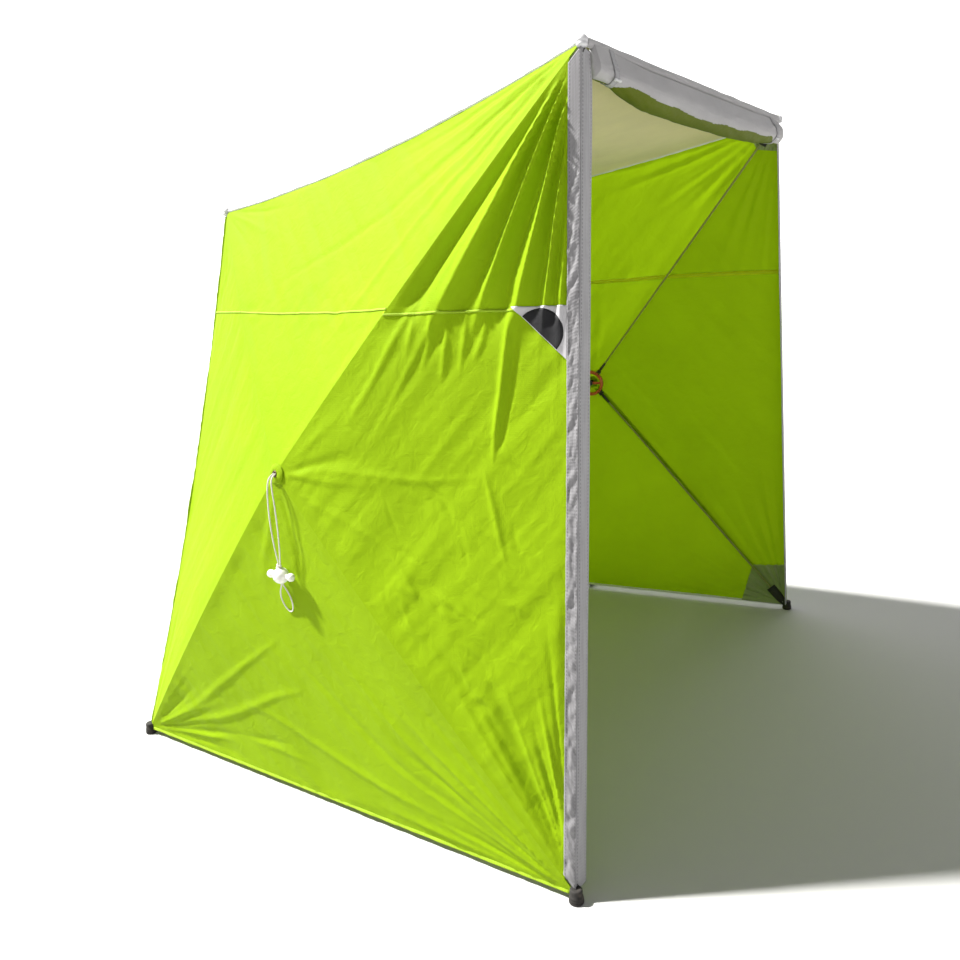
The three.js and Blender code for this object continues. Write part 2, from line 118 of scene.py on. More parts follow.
def plain_material(name, color, roughness):
    material = bpy.data.materials.new(name)
    material.use_nodes = True
    shader = material.node_tree.nodes["Principled BSDF"]
    shader.inputs["Base Color"].default_value = (*color, 1)
    shader.inputs["Roughness"].default_value = roughness
    return material, shader


def add_plane(name, size, place, material):
    bpy.ops.mesh.primitive_plane_add(size=size, location=place)
    plane = bpy.context.object
    plane.name = name
    plane.data.materials.append(material)
    return plane


def make_stage():
    """A pale floor, a white screen far behind the object, even light all round and a sun."""
    pale, _ = plain_material("floor_pale", (0.50, 0.50, 0.50), 0.95)
    white, shader = plain_material("screen_white", (0.8, 0.8, 0.8), 1.0)
    shader.inputs["Emission Color"].default_value = (1, 1, 1, 1)
    shader.inputs["Emission Strength"].default_value = 1.0
    ahead = Vector((math.sin(math.radians(CAMERA_YAW)), math.cos(math.radians(CAMERA_YAW)), 0))
    floor = add_plane("floor", FLOOR_SIZE, (0, 0, FLOOR_DROP), pale)
    screen = add_plane("light_screen", SCREEN_SIZE, ahead * SCREEN_DISTANCE, white)
    screen.rotation_euler = ahead.to_track_quat("Z", "Y").to_euler()
    screen.visible_shadow = False
    world = bpy.data.worlds.new("studio")
    world.use_nodes = True
    background = world.node_tree.nodes["Background"].inputs
    background["Color"].default_value = (1, 1, 1, 1)
    background["Strength"].default_value = AMBIENT
    bpy.context.scene.world = world
    lamp = bpy.data.lights.new("key", "SUN")
    lamp.energy = KEY_POWER
    lamp.angle = math.radians(KEY_SOFTNESS)
    lamp.color = KEY_COLOR
    key = bpy.data.objects.new("key", lamp)
    key.rotation_euler = (-Vector(KEY_FROM)).to_track_quat("-Z", "Y").to_euler()
    bpy.context.collection.objects.link(key)
    bpy.context.scene.view_settings.view_transform = "Standard"


# ---- materials ----
BAND_SCALE = 1 / 6.283  # turns bands in a metre into a wave texture's scale
STITCH_PITCH = 0.009
STITCH_ROW, STITCH_HALF_WIDTH = 0.36, 0.035  # from the tape's middle, as shares of its width


class Look:
    """A material and the node steps the looks share. Its textures lie in UV or object space."""

    def __init__(self, name, color, roughness, space="UV"):
        self.material, self.shader = plain_material(name, color, roughness)
        self.color = color
        self.place = self.add("TexCoord").outputs[space]

    def link(self, source, socket):
        self.material.node_tree.links.new(source, socket)

    def set(self, node, **values):
        """Sets a node's settings and inputs by name. An input given a node's output is linked to it."""
        for key, value in values.items():
            socket = key.replace("_", " ")
            if isinstance(value, bpy.types.NodeSocket):
                self.link(value, node.inputs[socket])
            elif hasattr(node, key):
                setattr(node, key, value)
            else:
                node.inputs[socket].default_value = value
        return node

    def add(self, kind, **values):
        return self.set(self.material.node_tree.nodes.new("ShaderNode" + kind), **values)

    def stretched(self, *scale):
        """The look's place, stretched along its three axes."""
        return self.add("Mapping", Vector=self.place, Scale=scale).outputs["Vector"]

    def texture(self, kind, place=None, **values):
        """The value of a procedural texture."""
        return self.add("Tex" + kind, Vector=place or self.place, **values).outputs["Fac"]

    def maths(self, operation, *terms):
        """The result of a math node whose terms are numbers or other nodes' outputs."""
        node = self.add("Math", operation=operation)
        for term, socket in zip(terms, node.inputs):
            if isinstance(term, float):
                socket.default_value = term
            else:
                self.link(term, socket)
        return node.outputs[0]

    def share(self, k):
        """The look's own colour, made darker or lighter."""
        return tuple(min(1.0, channel * k) for channel in self.color)

    def tint(self, source, low, high, start=0.3, end=0.7):
        """A colour ramp over a texture's value, from low to high."""
        ramp = self.add("ValToRGB", Fac=source)
        for stop, position, color in zip(ramp.color_ramp.elements, (start, end), (low, high)):
            stop.position = position
            stop.color = (*color, 1)
        return ramp.outputs["Color"]

    def bump(self, height, strength, distance, over=None):
        """The normal of a bump map, which may lie over another one."""
        below = {"Normal": over} if over else {}
        node = self.add("Bump", Strength=strength, Distance=distance, Height=height, **below)
        return node.outputs["Normal"]


def cloth_material(name, color, see_through, weave=420.0, grime=0.08, sheen=0.25, gloss=0.28):
    """Woven cloth: crossing threads, crumples, uneven dye and light let through. UVs are in metres."""
    look = Look(name, color, 0.72)
    mottled = look.texture("Noise", Scale=3.1, Detail=6.0, Roughness=0.62)
    shade = look.tint(mottled, look.share(1 - grime), look.share(1.04))
    scale = weave * BAND_SCALE
    threads = [look.texture("Wave", bands_direction=way, Scale=scale, Distortion=0.6) for way in "XY"]
    crumple = look.texture("Noise", Scale=26.0, Detail=5.0, Roughness=0.58, Distortion=0.7)
    normal = look.bump(crumple, 0.5, 0.005, look.bump(look.maths("MULTIPLY", *threads), 0.22, 0.0006))
    look.set(look.shader, Base_Color=shade, Normal=normal, Specular_IOR_Level=gloss)
    look.set(look.shader, Sheen_Weight=sheen, Sheen_Roughness=0.45)
    if see_through:
        back = look.add("BsdfTranslucent", Color=shade, Normal=normal)
        mix = look.add("MixShader", Fac=see_through)
        for layer, socket in zip((look.shader, back), mix.inputs[1:]):
            look.link(layer.outputs[0], socket)
        look.link(mix.outputs[0], look.material.node_tree.nodes["Material Output"].inputs["Surface"])
    return look.material


def tape_material(name, color):
    """Ribbed tape with a row of stitches near each edge. UV u runs along in metres, v is 0 to 1 across."""
    look = Look(name, color, 0.8)
    dirt = look.texture("Noise", Scale=9.0, Detail=8.0, Roughness=0.65)
    shade = look.tint(dirt, look.share(0.8), look.share(1.08))
    ribs = look.texture("Wave", bands_direction="X", Scale=260.0 * BAND_SCALE, Distortion=0.4)
    uv = look.add("SeparateXYZ", Vector=look.place).outputs
    dashes = look.maths("SINE", look.maths("MULTIPLY", uv["X"], 2 * math.pi / STITCH_PITCH))
    from_middle = look.maths("ABSOLUTE", look.maths("SUBTRACT", uv["Y"], 0.5))
    rows = look.maths("COMPARE", from_middle, STITCH_ROW, STITCH_HALF_WIDTH)
    stitches = look.maths("MULTIPLY", rows, look.maths("GREATER_THAN", dashes, -0.2))
    mix = look.add("Mix", data_type="RGBA")
    look.set(mix, Factor=stitches, A=shade, B=(*look.share(0.62), 1))
    normal = look.bump(stitches, 0.5, 0.0006, look.bump(ribs, 0.3, 0.0008))
    look.set(look.shader, Base_Color=mix.outputs["Result"], Normal=normal)
    return look.material


def moulded_material(name, color, roughness, wear, coat=0.0):
    """Moulded plastic or rubber: fine grain and rubbed patches."""
    look = Look(name, color, roughness, "Object")
    patches = look.texture("Noise", Scale=24.0, Detail=7.0, Roughness=0.6)
    dull = look.add("MapRange", Value=patches, To_Min=roughness - 0.08, To_Max=min(1.0, roughness + 0.22))
    normal = look.bump(look.texture("Noise", Scale=180.0, Detail=3.0), 0.25, 0.0006)
    shade = look.tint(patches, color, wear, 0.52, 0.78)
    look.set(look.shader, Base_Color=shade, Roughness=dull.outputs["Result"])
    look.set(look.shader, Normal=normal, Coat_Weight=coat)
    return look.material


def rod_material():
    """Pultruded glass fibre: long streaks along the rod under a thin gloss. Its olive-green tint is painted
    green bounce light from the lime cloth, over the rod's own grey. UV u runs along in metres.
    """
    look = Look("glass_fibre_painted_bounce", (0.19, 0.20, 0.065), 0.38)
    streaks = look.texture("Noise", look.stretched(9.0, 60.0, 1.0), Scale=2.0, Detail=6.0, Roughness=0.7)
    shade = look.tint(streaks, look.share(0.6), look.share(1.9))
    look.set(look.shader, Base_Color=shade, Normal=look.bump(streaks, 0.2, 0.0004), Coat_Weight=0.25)
    return look.material


def metal_material(name, color, roughness):
    look = Look(name, color, roughness, "Object")
    marks = look.texture("Noise", Scale=90.0, Detail=6.0, Roughness=0.7)
    look.set(look.shader, Base_Color=look.tint(marks, look.share(0.55), color), Metallic=1.0)
    return look.material


def cord_material():
    """Braided cord: two crossing sets of strands. UV u runs along in metres, v is 0 to 1 round it."""
    look = Look("braided_cord", (0.70, 0.68, 0.62), 0.85)
    normal = None
    for lean in (2.0, -2.0):
        place = look.stretched(330.0, lean, 1.0)
        strands = look.texture("Wave", place, bands_direction="DIAGONAL", Scale=0.5)
        normal = look.bump(strands, 0.5, 0.0006, normal)
    shade = look.tint(strands, look.share(0.72), look.share(1.1))
    look.set(look.shader, Base_Color=shade, Normal=normal)
    return look.material


def make_materials():
    slick = {"sheen": 0.02, "gloss": 0.12}
    return {
        "lime": cloth_material("lime_cloth", (0.29, 0.46, 0.003), 0.25, **slick),
        # the door cloth is a dark copy of the lime cloth: its darker inner face and painted shade under the
        # roll
        "door": cloth_material("door_cloth", (0.105, 0.135, 0.008), 0.05, **slick),
        "seam": cloth_material("seam_tape", (0.84, 0.92, 0.03), 0.45, **slick),
        "white": cloth_material("white_cloth", (0.43, 0.42, 0.43), 0.08, grime=0.14, sheen=0.1),
        "roof": cloth_material("roof_cloth", (0.84, 0.75, 0.44), 0.24, grime=0.10),
        "patch": cloth_material("corner_patch", (0.30, 0.36, 0.17), 0.0, weave=260.0),
        "badge": cloth_material("badge_cloth", (0.52, 0.51, 0.53), 0.0),
        "badge_print": cloth_material("badge_print", (0.012, 0.012, 0.014), 0.0, sheen=0.05),
        "lime_tape": tape_material("lime_edge", (0.30, 0.46, 0.006)),
        "binding": tape_material("white_webbing", (0.74, 0.735, 0.75)),
        "tape": tape_material("grey_tape", (0.36, 0.355, 0.37)),
        "side_tape": tape_material("gathered_tape", (0.235, 0.23, 0.24)),
        "strap": tape_material("dark_webbing", (0.03, 0.03, 0.028)),
        "hub": moulded_material("hub_plastic", (0.50, 0.085, 0.03), 0.45, (0.56, 0.16, 0.09)),
        "socket": moulded_material("socket_plastic", (0.022, 0.02, 0.02), 0.5, (0.06, 0.055, 0.05)),
        "rubber": moulded_material("boot_rubber", (0.018, 0.016, 0.014), 0.75, (0.09, 0.07, 0.05)),
        "cap": moulded_material("cap_plastic", (0.58, 0.58, 0.60), 0.55, (0.44, 0.43, 0.42)),
        "ball": moulded_material("ball_plastic", (0.80, 0.79, 0.74), 0.35, (0.55, 0.53, 0.47), coat=0.3),
        "rod": rod_material(),
        "brass": metal_material("grommet_metal", (0.16, 0.11, 0.07), 0.45),
        "steel": metal_material("ferrule_metal", (0.55, 0.54, 0.52), 0.35),
        "cord": cord_material(),
    }


make_camera()
MATERIALS = make_materials()
make_stage()


# ---- mesh helpers ----
def make_piece(name, points, faces, uvs, material, body):
    """A smooth mesh object from points, faces and one UV pair for each point."""
    mesh = bpy.data.meshes.new(name)
    mesh.from_pydata([tuple(map(float, p)) for p in points], [], [tuple(map(int, f)) for f in faces])
    mesh.polygons.foreach_set("use_smooth", [True] * len(mesh.polygons))
    corner_points = np.zeros(len(mesh.loops), np.int32)
    mesh.loops.foreach_get("vertex_index", corner_points)
    layer = mesh.uv_layers.new(name="UVMap")
    layer.data.foreach_set("uv", np.asarray(uvs, np.float32)[corner_points].ravel())
    mesh.validate()
    mesh.update()
    piece = bpy.data.objects.new(name, mesh)
    bpy.context.collection.objects.link(piece)
    mesh.materials.append(MATERIALS[material])
    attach(piece, body)
    return piece


def make_net(name, points, u, v, material, body, slot, wrap=False, ends=False):
    """A piece from rows and columns of points. wrap joins the outer columns; ends fills both ends."""
    rows, columns = points.shape[:2]
    faces = []
    for i in range(rows - 1):
        for j in range(columns if wrap else columns - 1):
            one, other = i * columns, (j + 1) % columns
            faces.append((one + j, one + other, one + columns + other, one + columns + j))
    if ends:
        faces.append(tuple(range(columns))[::-1])
        faces.append(tuple(range((rows - 1) * columns, rows * columns)))
    uvs = np.stack([np.broadcast_to(w, (rows, columns)) for w in (u, v)], axis=-1)
    return make_piece(name, points.reshape(-1, 3), faces, uvs.reshape(-1, 2), material, body)


def thicken(piece, thickness, offset=0.0):
    modifier = piece.modifiers.new("thickness", "SOLIDIFY")
    modifier.thickness = thickness
    modifier.offset = offset


def weld(piece, distance):
    shape = bmesh.new()
    shape.from_mesh(piece.data)
    bmesh.ops.remove_doubles(shape, verts=shape.verts, dist=distance)
    bmesh.ops.recalc_face_normals(shape, faces=shape.faces)
    shape.to_mesh(piece.data)
    shape.free()


def tangents(path):
    run = np.gradient(path, axis=0)
    return run / np.linalg.norm(run, axis=1)[:, None]


def run_length(path):
    return np.concatenate([[0], np.cumsum(np.linalg.norm(np.diff(path, axis=0), axis=1))])


def sweep(name, path, section, up_hint, material, body, slot, wobble=0.0):
    """Sweeps a closed section of (side, up) offsets along a path. wobble is added to the offsets."""
    run = tangents(path)
    side = np.cross(run, up_hint)
    side /= np.linalg.norm(side, axis=1)[:, None]
    up = np.cross(side, run)
    offsets = np.asarray(section)[None] + wobble
    points = path[:, None] + side[:, None] * offsets[..., :1] + up[:, None] * offsets[..., 1:]
    v = np.abs(np.linspace(-1, 1, len(section), endpoint=False))
    return make_net(name, points, run_length(path)[:, None], v, material, body, slot, wrap=True, ends=True)


def circle(radius, sides, squash=1.0):
    angles = np.linspace(0, 2 * math.pi, sides, endpoint=False)
    return np.column_stack([radius * np.cos(angles), squash * radius * np.sin(angles)])


def smooth_path(points, count):
    """A Catmull-Rom curve through the points, sampled evenly along its length."""
    points = np.asarray(points, float)
    padded = np.vstack([2 * points[0] - points[1], points, 2 * points[-1] - points[-2]])
    fine = []
    for i in range(1, len(padded) - 2):
        p0, p1, p2, p3 = padded[i - 1 : i + 3]
        for t in np.linspace(0, 1, 24, endpoint=False):
            early = 2 * p1 + (p2 - p0) * t + (2 * p0 - 5 * p1 + 4 * p2 - p3) * t**2
            fine.append(0.5 * (early + (3 * p1 - p0 - 3 * p2 + p3) * t**3))
    fine.append(padded[-2])
    fine = np.array(fine)
    length = run_length(fine)
    at = np.linspace(0, length[-1], count)
    return np.column_stack([np.interp(at, length, fine[:, i]) for i in range(fine.shape[1])])


def lathe(name, profile, origin, axis, sides, material, body, slot):
    """Turns a profile of (radius, height) pairs, in millimetres, about an axis."""
    axis = unit(axis)
    x = unit(np.cross(axis, UP if abs(axis[2]) < 0.9 else [1, 0, 0]))
    y = np.cross(axis, x)
    profile = np.array(profile, float) / 1000
    angles = np.linspace(0, 2 * math.pi, sides, endpoint=False)
    ring = np.cos(angles)[:, None] * x + np.sin(angles)[:, None] * y
    points = origin + profile[:, None, :1] * ring[None] + profile[:, None, 1:] * axis
    v = run_length(profile)[:, None]
    piece = make_net(name, points, np.linspace(0, 1, sides), v, material, body, slot, wrap=True)
    weld(piece, 1e-5)
    return piece


# ---- noise ----
def lattice_noise(x, y, seed):
    """Smooth value noise from -1 to 1 on a unit lattice."""
    size = 64
    table = np.random.default_rng(seed).uniform(-1, 1, (size, size))
    xi, yi = np.floor(x).astype(int), np.floor(y).astype(int)
    xf, yf = smoothstep(x - xi), smoothstep(y - yi)
    rows = []
    for j in (0, 1):
        near, far = (table[(xi + i) % size, (yi + j) % size] for i in (0, 1))
        rows.append(near * (1 - xf) + far * xf)
    return rows[0] * (1 - yf) + rows[1] * yf


def ripples(x, y, seed, octaves=2):
    """Lattice noise in a few octaves, each turned, so that its lattice never shows."""
    total = 0.0
    for octave in range(octaves):
        turn = 0.6 + 1.9 * octave
        u = (math.cos(turn) * x - math.sin(turn) * y) * 2.03**octave + 7.3 * octave
        v = (math.sin(turn) * x + math.cos(turn) * y) * 2.03**octave - 3.1 * octave
        total = total + 0.5**octave * lattice_noise(u, v, seed + octave)
    return total


def smoothstep(x):
    x = np.clip(x, 0, 1)
    return x * x * (3 - 2 * x)


# ---- the tent's corners, walls and edges, from the frame ----
POSTS = ("front_left", "front_right", "rear_left", "rear_right")
JOINTS = {joint["name"]: joint for joint in frame["joints"]}
CORNER = {}
for post in POSTS:
    for end, node in (("_top", "_cap"), ("_foot", "_foot")):
        CORNER[post + end] = np.mean(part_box(post + node), axis=0)
    CORNER[post + "_foot"][2] = HEM_LIFT


def make_wall(name, posts, sides, opening_creases, strip_width):
    """A wall between two posts. Its corners and facets run round from the top of the first post.

    opening_creases are the corners whose creases open as the wall folds in.
    """
    one, other = posts
    corners = (one + "_top", other + "_top", other + "_foot", one + "_foot")
    slide = JOINTS[name + "_hub_pop"]
    normal = -unit(slide["axis"])
    return {
        "corners": corners,
        "rods": (sides[0] + "_upper", sides[1] + "_upper", sides[1] + "_lower", sides[0] + "_lower"),
        "parts": ("top", sides[1], "bottom", sides[0]),
        "opening_creases": opening_creases,
        "strip_width": strip_width,
        "normal": normal,
        "apex": sum(CORNER[c] for c in corners) / 4 + normal * slide["range_m"][1] / 2,
    }


WALLS = {
    "left": make_wall("left", ("front_left", "rear_left"), ("front", "rear"), (1, 3), 0.048),
    "right": make_wall("right", ("rear_right", "front_right"), ("rear", "front"), (0, 2), 0.016),
    "rear": make_wall("rear", ("rear_left", "rear_right"), ("left", "right"), (0, 2), 0.008),
}

# How far each edge dips at its middle, as a vector.
EDGE_DIP = {frozenset(("rear_left_top", "rear_right_top")): np.array([0.0, -0.008, -0.014])}
for side, inward in (("left", 0.012), ("right", -0.012)):
    rear_top = f"rear_{side}_top"
    EDGE_DIP[frozenset((f"front_{side}_top", rear_top))] = np.array([inward, 0.0, -ROOF_SAG])
    EDGE_DIP[frozenset((rear_top, f"rear_{side}_foot"))] = np.array([inward, -REAR_EDGE_SAG, 0.0])


def edge_dip(start, end):
    return EDGE_DIP.get(frozenset((start, end)), np.zeros(3))


def edge_curve(start, end, t):
    """Points along an edge line between two named corners, with its dip."""
    t = np.asarray(t, float)[..., None]
    return CORNER[start] * (1 - t) + CORNER[end] * t + 4 * t * (1 - t) * edge_dip(start, end)


# ---- facets ----
# Folds run out from a facet's two outer corners and from its hub. Each has a place and a half width, in
# percent of the way from the outer edge to the crease (at the hub, from the start crease to the end one), a
# height in millimetres, below zero for a valley, and a reach in percent of the facet.
LEFT_FOLDS = {
    "front": {
        "end": [
            (93, 5, -26, 80), (81.5, 2.6, 24, 74), (73.5, 3.8, -18, 60), (65.5, 2, 17, 66),
            (55.5, 4.5, -22, 58), (45.5, 2.2, 22, 60), (36, 4, -17, 55), (28.5, 1.6, 16, 52),
            (22, 2.6, -14, 50), (15.5, 1.8, 15, 55), (9, 2.4, -12, 50), (3.5, 1.4, 8, 46),
        ],
        "start": [
            (95.5, 3, -7, 50), (86, 2.2, 6, 52), (76, 3, -5, 40), (60, 1.8, 5, 40), (47, 2.6, -9, 30),
            (36, 2, 8, 34), (24, 2, -6, 42), (13, 1.8, 6, 40), (6, 1.4, -5, 36),
        ],
        "hub": [(47, 3.5, 4, 55), (58, 3, -4, 42), (80, 4, 3, 30)],
    },
    "top": {
        "start": [
            (16, 3, -4, 50), (30, 4, 4, 55), (46, 3.5, -5, 50), (62, 4, 5, 60), (78, 3, -4, 50),
            (90, 3, 4, 45),
        ],
        "end": [(25, 4, -3, 35), (50, 5, 3, 40), (75, 4, -3, 30)],
    },
    "bottom": {
        "start": [
            (12, 3, -4, 30), (25, 3, 5, 36), (42, 3.5, -5, 34), (58, 3, 5, 40), (76, 3, -4, 36),
            (90, 2, 3, 40),
        ],
        "end": [
            (10, 3, 4, 45), (26, 3, -4, 42), (44, 3, 4, 50), (60, 2.5, -5, 55), (76, 2, 5, 60),
            (90, 2.2, -5, 60),
        ],
        "hub": [(30, 4, 3, 40), (62, 4, -3, 40)],
    },
    "rear": {
        "start": [(30, 5, 3, 40), (62, 5, -3, 35)],
        "end": [(20, 4, 4, 35), (45, 4, -4, 40), (70, 4, 3, 40)],
    },
}

# Single creases: half width, height and the points of the line, all in millimetres. A point lies along the
# facet's outer edge and in from it.
LEFT_CREASES = {
    "front": [
        (7, 8.5, (1400, 155), (1220, 180), (1050, 210)), (9, -6.5, (1390, 135), (1230, 160), (1080, 190)),
        (7, 4.5, (1010, 235), (900, 200), (790, 170)),
        (7, 3, (990, 820), (1015, 670), (985, 470), (1000, 240)),
        (9, 2.6, (950, 780), (880, 610), (750, 430)), (8, 4.5, (1580, 385), (1460, 465), (1280, 565)),
        (9, 5, (1520, 350), (1360, 445), (1130, 595)), (7, 3, (1470, 300), (1300, 400), (1080, 540)),
        (8, 5, (1440, 485), (1490, 445), (1540, 335)), (20, -12, (20, 12), (240, 105), (490, 215)),
        (10, 6, (20, 20), (240, 135), (460, 260)), (9, -7, (60, 12), (230, 52), (350, 90)),
        (10, 4.5, (580, 475), (370, 280), (80, 45)), (9, -4.5, (600, 380), (380, 200), (110, 35)),
        (7, 4.5, (1395, 360), (1330, 365), (1260, 390)), (7, 4.5, (1395, 320), (1320, 325), (1230, 340)),
        (7, 4.5, (1395, 270), (1330, 275), (1260, 290)), (7, 4, (1395, 220), (1340, 225), (1280, 250)),
        (7, 3.5, (1395, 410), (1350, 415), (1300, 430)),
    ],
    "bottom": [
        (10, 4, (1600, 25), (1260, 235), (940, 510)), (11, -4, (1580, 15), (1150, 205), (810, 420)),
        (12, 4, (1530, 12), (1070, 115), (560, 235)), (10, 4, (50, 20), (400, 235), (720, 460)),
        (11, 4.5, (60, 12), (450, 165), (790, 325)), (12, -4, (80, 12), (430, 85), (720, 135)),
        (9, 3, (300, 40), (520, 100), (800, 100)),
    ],
    "top": [
        (12, 3, (100, 60), (450, 330), (750, 620)), (14, -3, (120, 40), (600, 240), (1050, 360)),
    ],
}


def left_folds(part):
    """The left wall's folds with shares as fractions and heights in metres."""
    return {spot: np.array(rows) * (0.01, 0.01, 0.001, 0.01) for spot, rows in LEFT_FOLDS[part].items()}


def random_folds(seed, strength=0.008):
    """Folds fanning from the two outer corners and the hub of a facet whose folds aren't listed."""
    random = np.random.default_rng(seed)
    folds = {}
    for spot, count, scale in (("start", 9, 1.0), ("end", 9, 1.0), ("hub", 4, 0.5)):
        places = np.linspace(0.06, 0.95, count) + random.uniform(-0.03, 0.03, count)
        folds[spot] = []
        for i, place in enumerate(places):
            half_width = random.uniform(0.018, 0.04)
            height = (1 if i % 2 else -1) * scale * strength * random.uniform(0.5, 1.0)
            folds[spot].append((place, half_width, height, random.uniform(0.32, 0.6)))
    return folds


def slack_puckers(count=34, seed=90):
    """Short creases where the lower front cloth hangs slack, most of them slanting down towards the post."""
    random = np.random.default_rng(seed)
    found = []
    for _ in range(count):
        place = np.array([random.normal(0.76, 0.12), random.uniform(0.12, 0.52)])
        slant, length = random.normal(-2.25, 0.35), random.uniform(0.05, 0.13)
        run = np.array([math.cos(slant), math.sin(slant)]) * length
        bend = random.uniform(-0.15, 0.15) * np.array([-run[1], run[0]])
        half_width = random.uniform(0.005, 0.009)
        height = random.choice([-1, 1]) * random.uniform(0.0013, 0.0028)
        found.append((half_width, height, [place, place + 0.5 * run + bend, place + run]))
    return found


def near_line(u, v, points):
    """Distance from a polyline and how far along it the nearest place is, from 0 to 1."""
    distance, place = np.full(u.shape, 9.0), np.zeros(u.shape)
    count = len(points) - 1
    for i in range(count):
        start, run = points[i], points[i + 1] - points[i]
        t = np.clip(((u - start[0]) * run[0] + (v - start[1]) * run[1]) / (run @ run), 0, 1)
        gap = np.hypot(u - start[0] - t * run[0], v - start[1] - t * run[1])
        closer = gap < distance
        distance[closer] = gap[closer]
        place[closer] = (i + t[closer]) / count
    return distance, place


class Facet:
    """A triangular cloth facet. Its weights are a at its start corner, b at its end corner, c at the hub."""

    def __init__(self, wall_name, part, start, end, folds, seed):
        wall = WALLS[wall_name]
        self.name, self.wall, self.part = f"{wall_name}_{part}", wall_name, part
        self.body = self.name + "_facet"
        self.start, self.end, self.apex = start, end, wall["apex"]
        self.first, self.second = CORNER[start], CORNER[end]
        self.bow = CREASE_BOW * wall["normal"]
        self.folds, self.seed = folds, seed
        self.creases = []
        if wall_name == "left":
            for half_width, height, *points in LEFT_CREASES.get(part, ()):
                self.creases.append((half_width / 1000, height / 1000, np.array(points) / 1000))
        self.x = unit(self.second - self.first)
        self.length = np.linalg.norm(self.second - self.first)
        self.foot = (self.apex - self.first) @ self.x  # where the hub's height meets the outer edge
        rise = self.apex - self.first - self.foot * self.x
        self.y, self.height = unit(rise), np.linalg.norm(rise)
        self.z = np.cross(self.x, self.y)
        self.area = self.length * self.height / 2
        self.inset = 0.0
        if self.name == "left_front":  # this facet hinges beside the post's tape
            self.creases += slack_puckers()
            self.inset = (SIDE_TAPE + TAPE_LAP) / self.height

    def flat(self, a, b, c):
        a, b, c = (np.asarray(w)[..., None] for w in (a, b, c))
        return a * self.first + b * self.second + c * self.apex

    def uvs(self, a, b, c):
        """Places in the facet's plane, in metres from its start corner."""
        return (self.flat(a, b, c) - self.first) @ np.column_stack([self.x, self.y])

    def inset_weights(self, a, b, c):
        """Weights of a place given on the moving part, which may start in from the outer edge."""
        kept = 1 - self.inset
        return a * kept, b * kept, c * kept + self.inset

    def weights_of(self, points):
        """Weights of places in the facet's plane."""
        local = points - self.first
        c = local @ self.y / self.height
        b = (local @ self.x - c * self.foot) / self.length
        return 1 - b - c, b, c

    def smooth_surface(self, a, b, c):
        flat = self.flat(a, b, c)
        a, b, c = (w[..., None] for w in (a, b, c))
        dip = 4 * a * b * edge_dip(self.start, self.end) * (1 - 0.6 * c)
        return flat + dip + 4 * c * (a + b) * self.bow * (1 - 2.2 * np.minimum(a, b))

    def surface(self, a, b, c):
        return self.smooth_surface(a, b, c) + self.lift(a, b, c)[..., None] * self.z

    def gathering(self, level, spot):
        """The seam gathers the fan from the front left top corner flat."""
        if self.name != "left_front" or spot != "end":
            return 1.0
        return 0.10 + 0.90 * smoothstep((level - SEAM_HEIGHT["left"] + 0.09) / 0.13)

    def fold_height(self, a, b, c, level):
        """Folds that fan from the corners."""
        total = np.zeros_like(a)
        views = {"start": (b, c, 1 - a), "end": (a, c, 1 - b), "hub": (a, b, 1 - c)}
        for spot, folds in self.folds.items():
            other, crease, out = views[spot]
            angle = crease / np.maximum(other + crease, 1e-6)
            for place, half_width, height, reach in folds:
                wander = 0.25 * half_width * np.sin(9 * out / max(reach, 0.1) + 17 * place)
                across = (angle - place - wander) / half_width
                skewed = across * np.where(across > 0, 0.75, 1.3)
                extent = smoothstep(out / 0.10) * (1 - smoothstep((out - 0.45 * reach) / (0.55 * reach)))
                total += height * np.exp(-(skewed**2)) * extent * self.gathering(level, spot)
        return total

    def crease_height(self, u, v):
        """Single creases, which waver a little."""
        total = np.zeros_like(u)
        for half_width, height, points in self.creases:
            wavering_u = u + 0.010 * lattice_noise(u * 6, v * 6, self.seed + 40)
            wavering_v = v + 0.010 * lattice_noise(u * 6 + 9, v * 6, self.seed + 41)
            distance, place = near_line(wavering_u, wavering_v, smooth_path(points, 14))
            taper = np.sin(math.pi * np.clip(place, 0.03, 0.97)) ** 0.5
            total += height * np.exp(-((distance / (half_width * (0.6 + 0.6 * taper))) ** 2)) * taper
        return total

    def wrinkle_height(self, u, v):
        """A slow swell and two sizes of long drags towards the corner that pulls on the cloth most."""
        pull = self.apex - self.second
        slope = math.atan2(pull @ self.y, -(pull @ self.x))
        down = -u * math.cos(slope) + v * math.sin(slope)
        over = u * math.sin(slope) + v * math.cos(slope)
        swell = 0.0042 * ripples(u * 2.1 + 5, v * 2.1, self.seed)
        broad = 0.0021 * ripples(down * 1.6, over * 14, self.seed + 20)
        return swell + broad + 0.0013 * ripples(down * 4, over * 34 + 3, self.seed + 30)

    def lift(self, a, b, c):
        """Height of the folds, gathers and puckers above the smooth surface."""
        place = self.flat(a, b, c)
        level = place[..., 2]
        u, v = np.moveaxis(self.uvs(a, b, c), -1, 0)
        total = self.fold_height(a, b, c, level) + self.crease_height(u, v) + self.wrinkle_height(u, v)
        if self.part != "bottom" and self.wall != "rear":
            from_seam = np.abs(level - SEAM_HEIGHT[self.wall])
            total += 0.0030 * lattice_noise(u * 30, v * 30 + 3, self.seed + 4) * np.exp(-from_seam / 0.045)
        if self.name == "left_front":
            # loose puckers where the lower front cloth hangs slack
            slack = np.exp(-(((a - 0.44) / 0.13) ** 2) - (((c - 0.42) / 0.16) ** 2))
            total += slack * 0.0013 * ripples(u * 7 + v * 9 + 3, v * 21 - u * 9, self.seed + 5)
        # the cloth lies flat along its creases and its hinge
        flat_hinge = 0.022 if self.inset else 0.03
        from_crease, from_hinge = np.minimum(a, b) * self.height, (c - self.inset) * self.height
        return total * smoothstep(from_crease / 0.035) * smoothstep(from_hinge / flat_hinge)


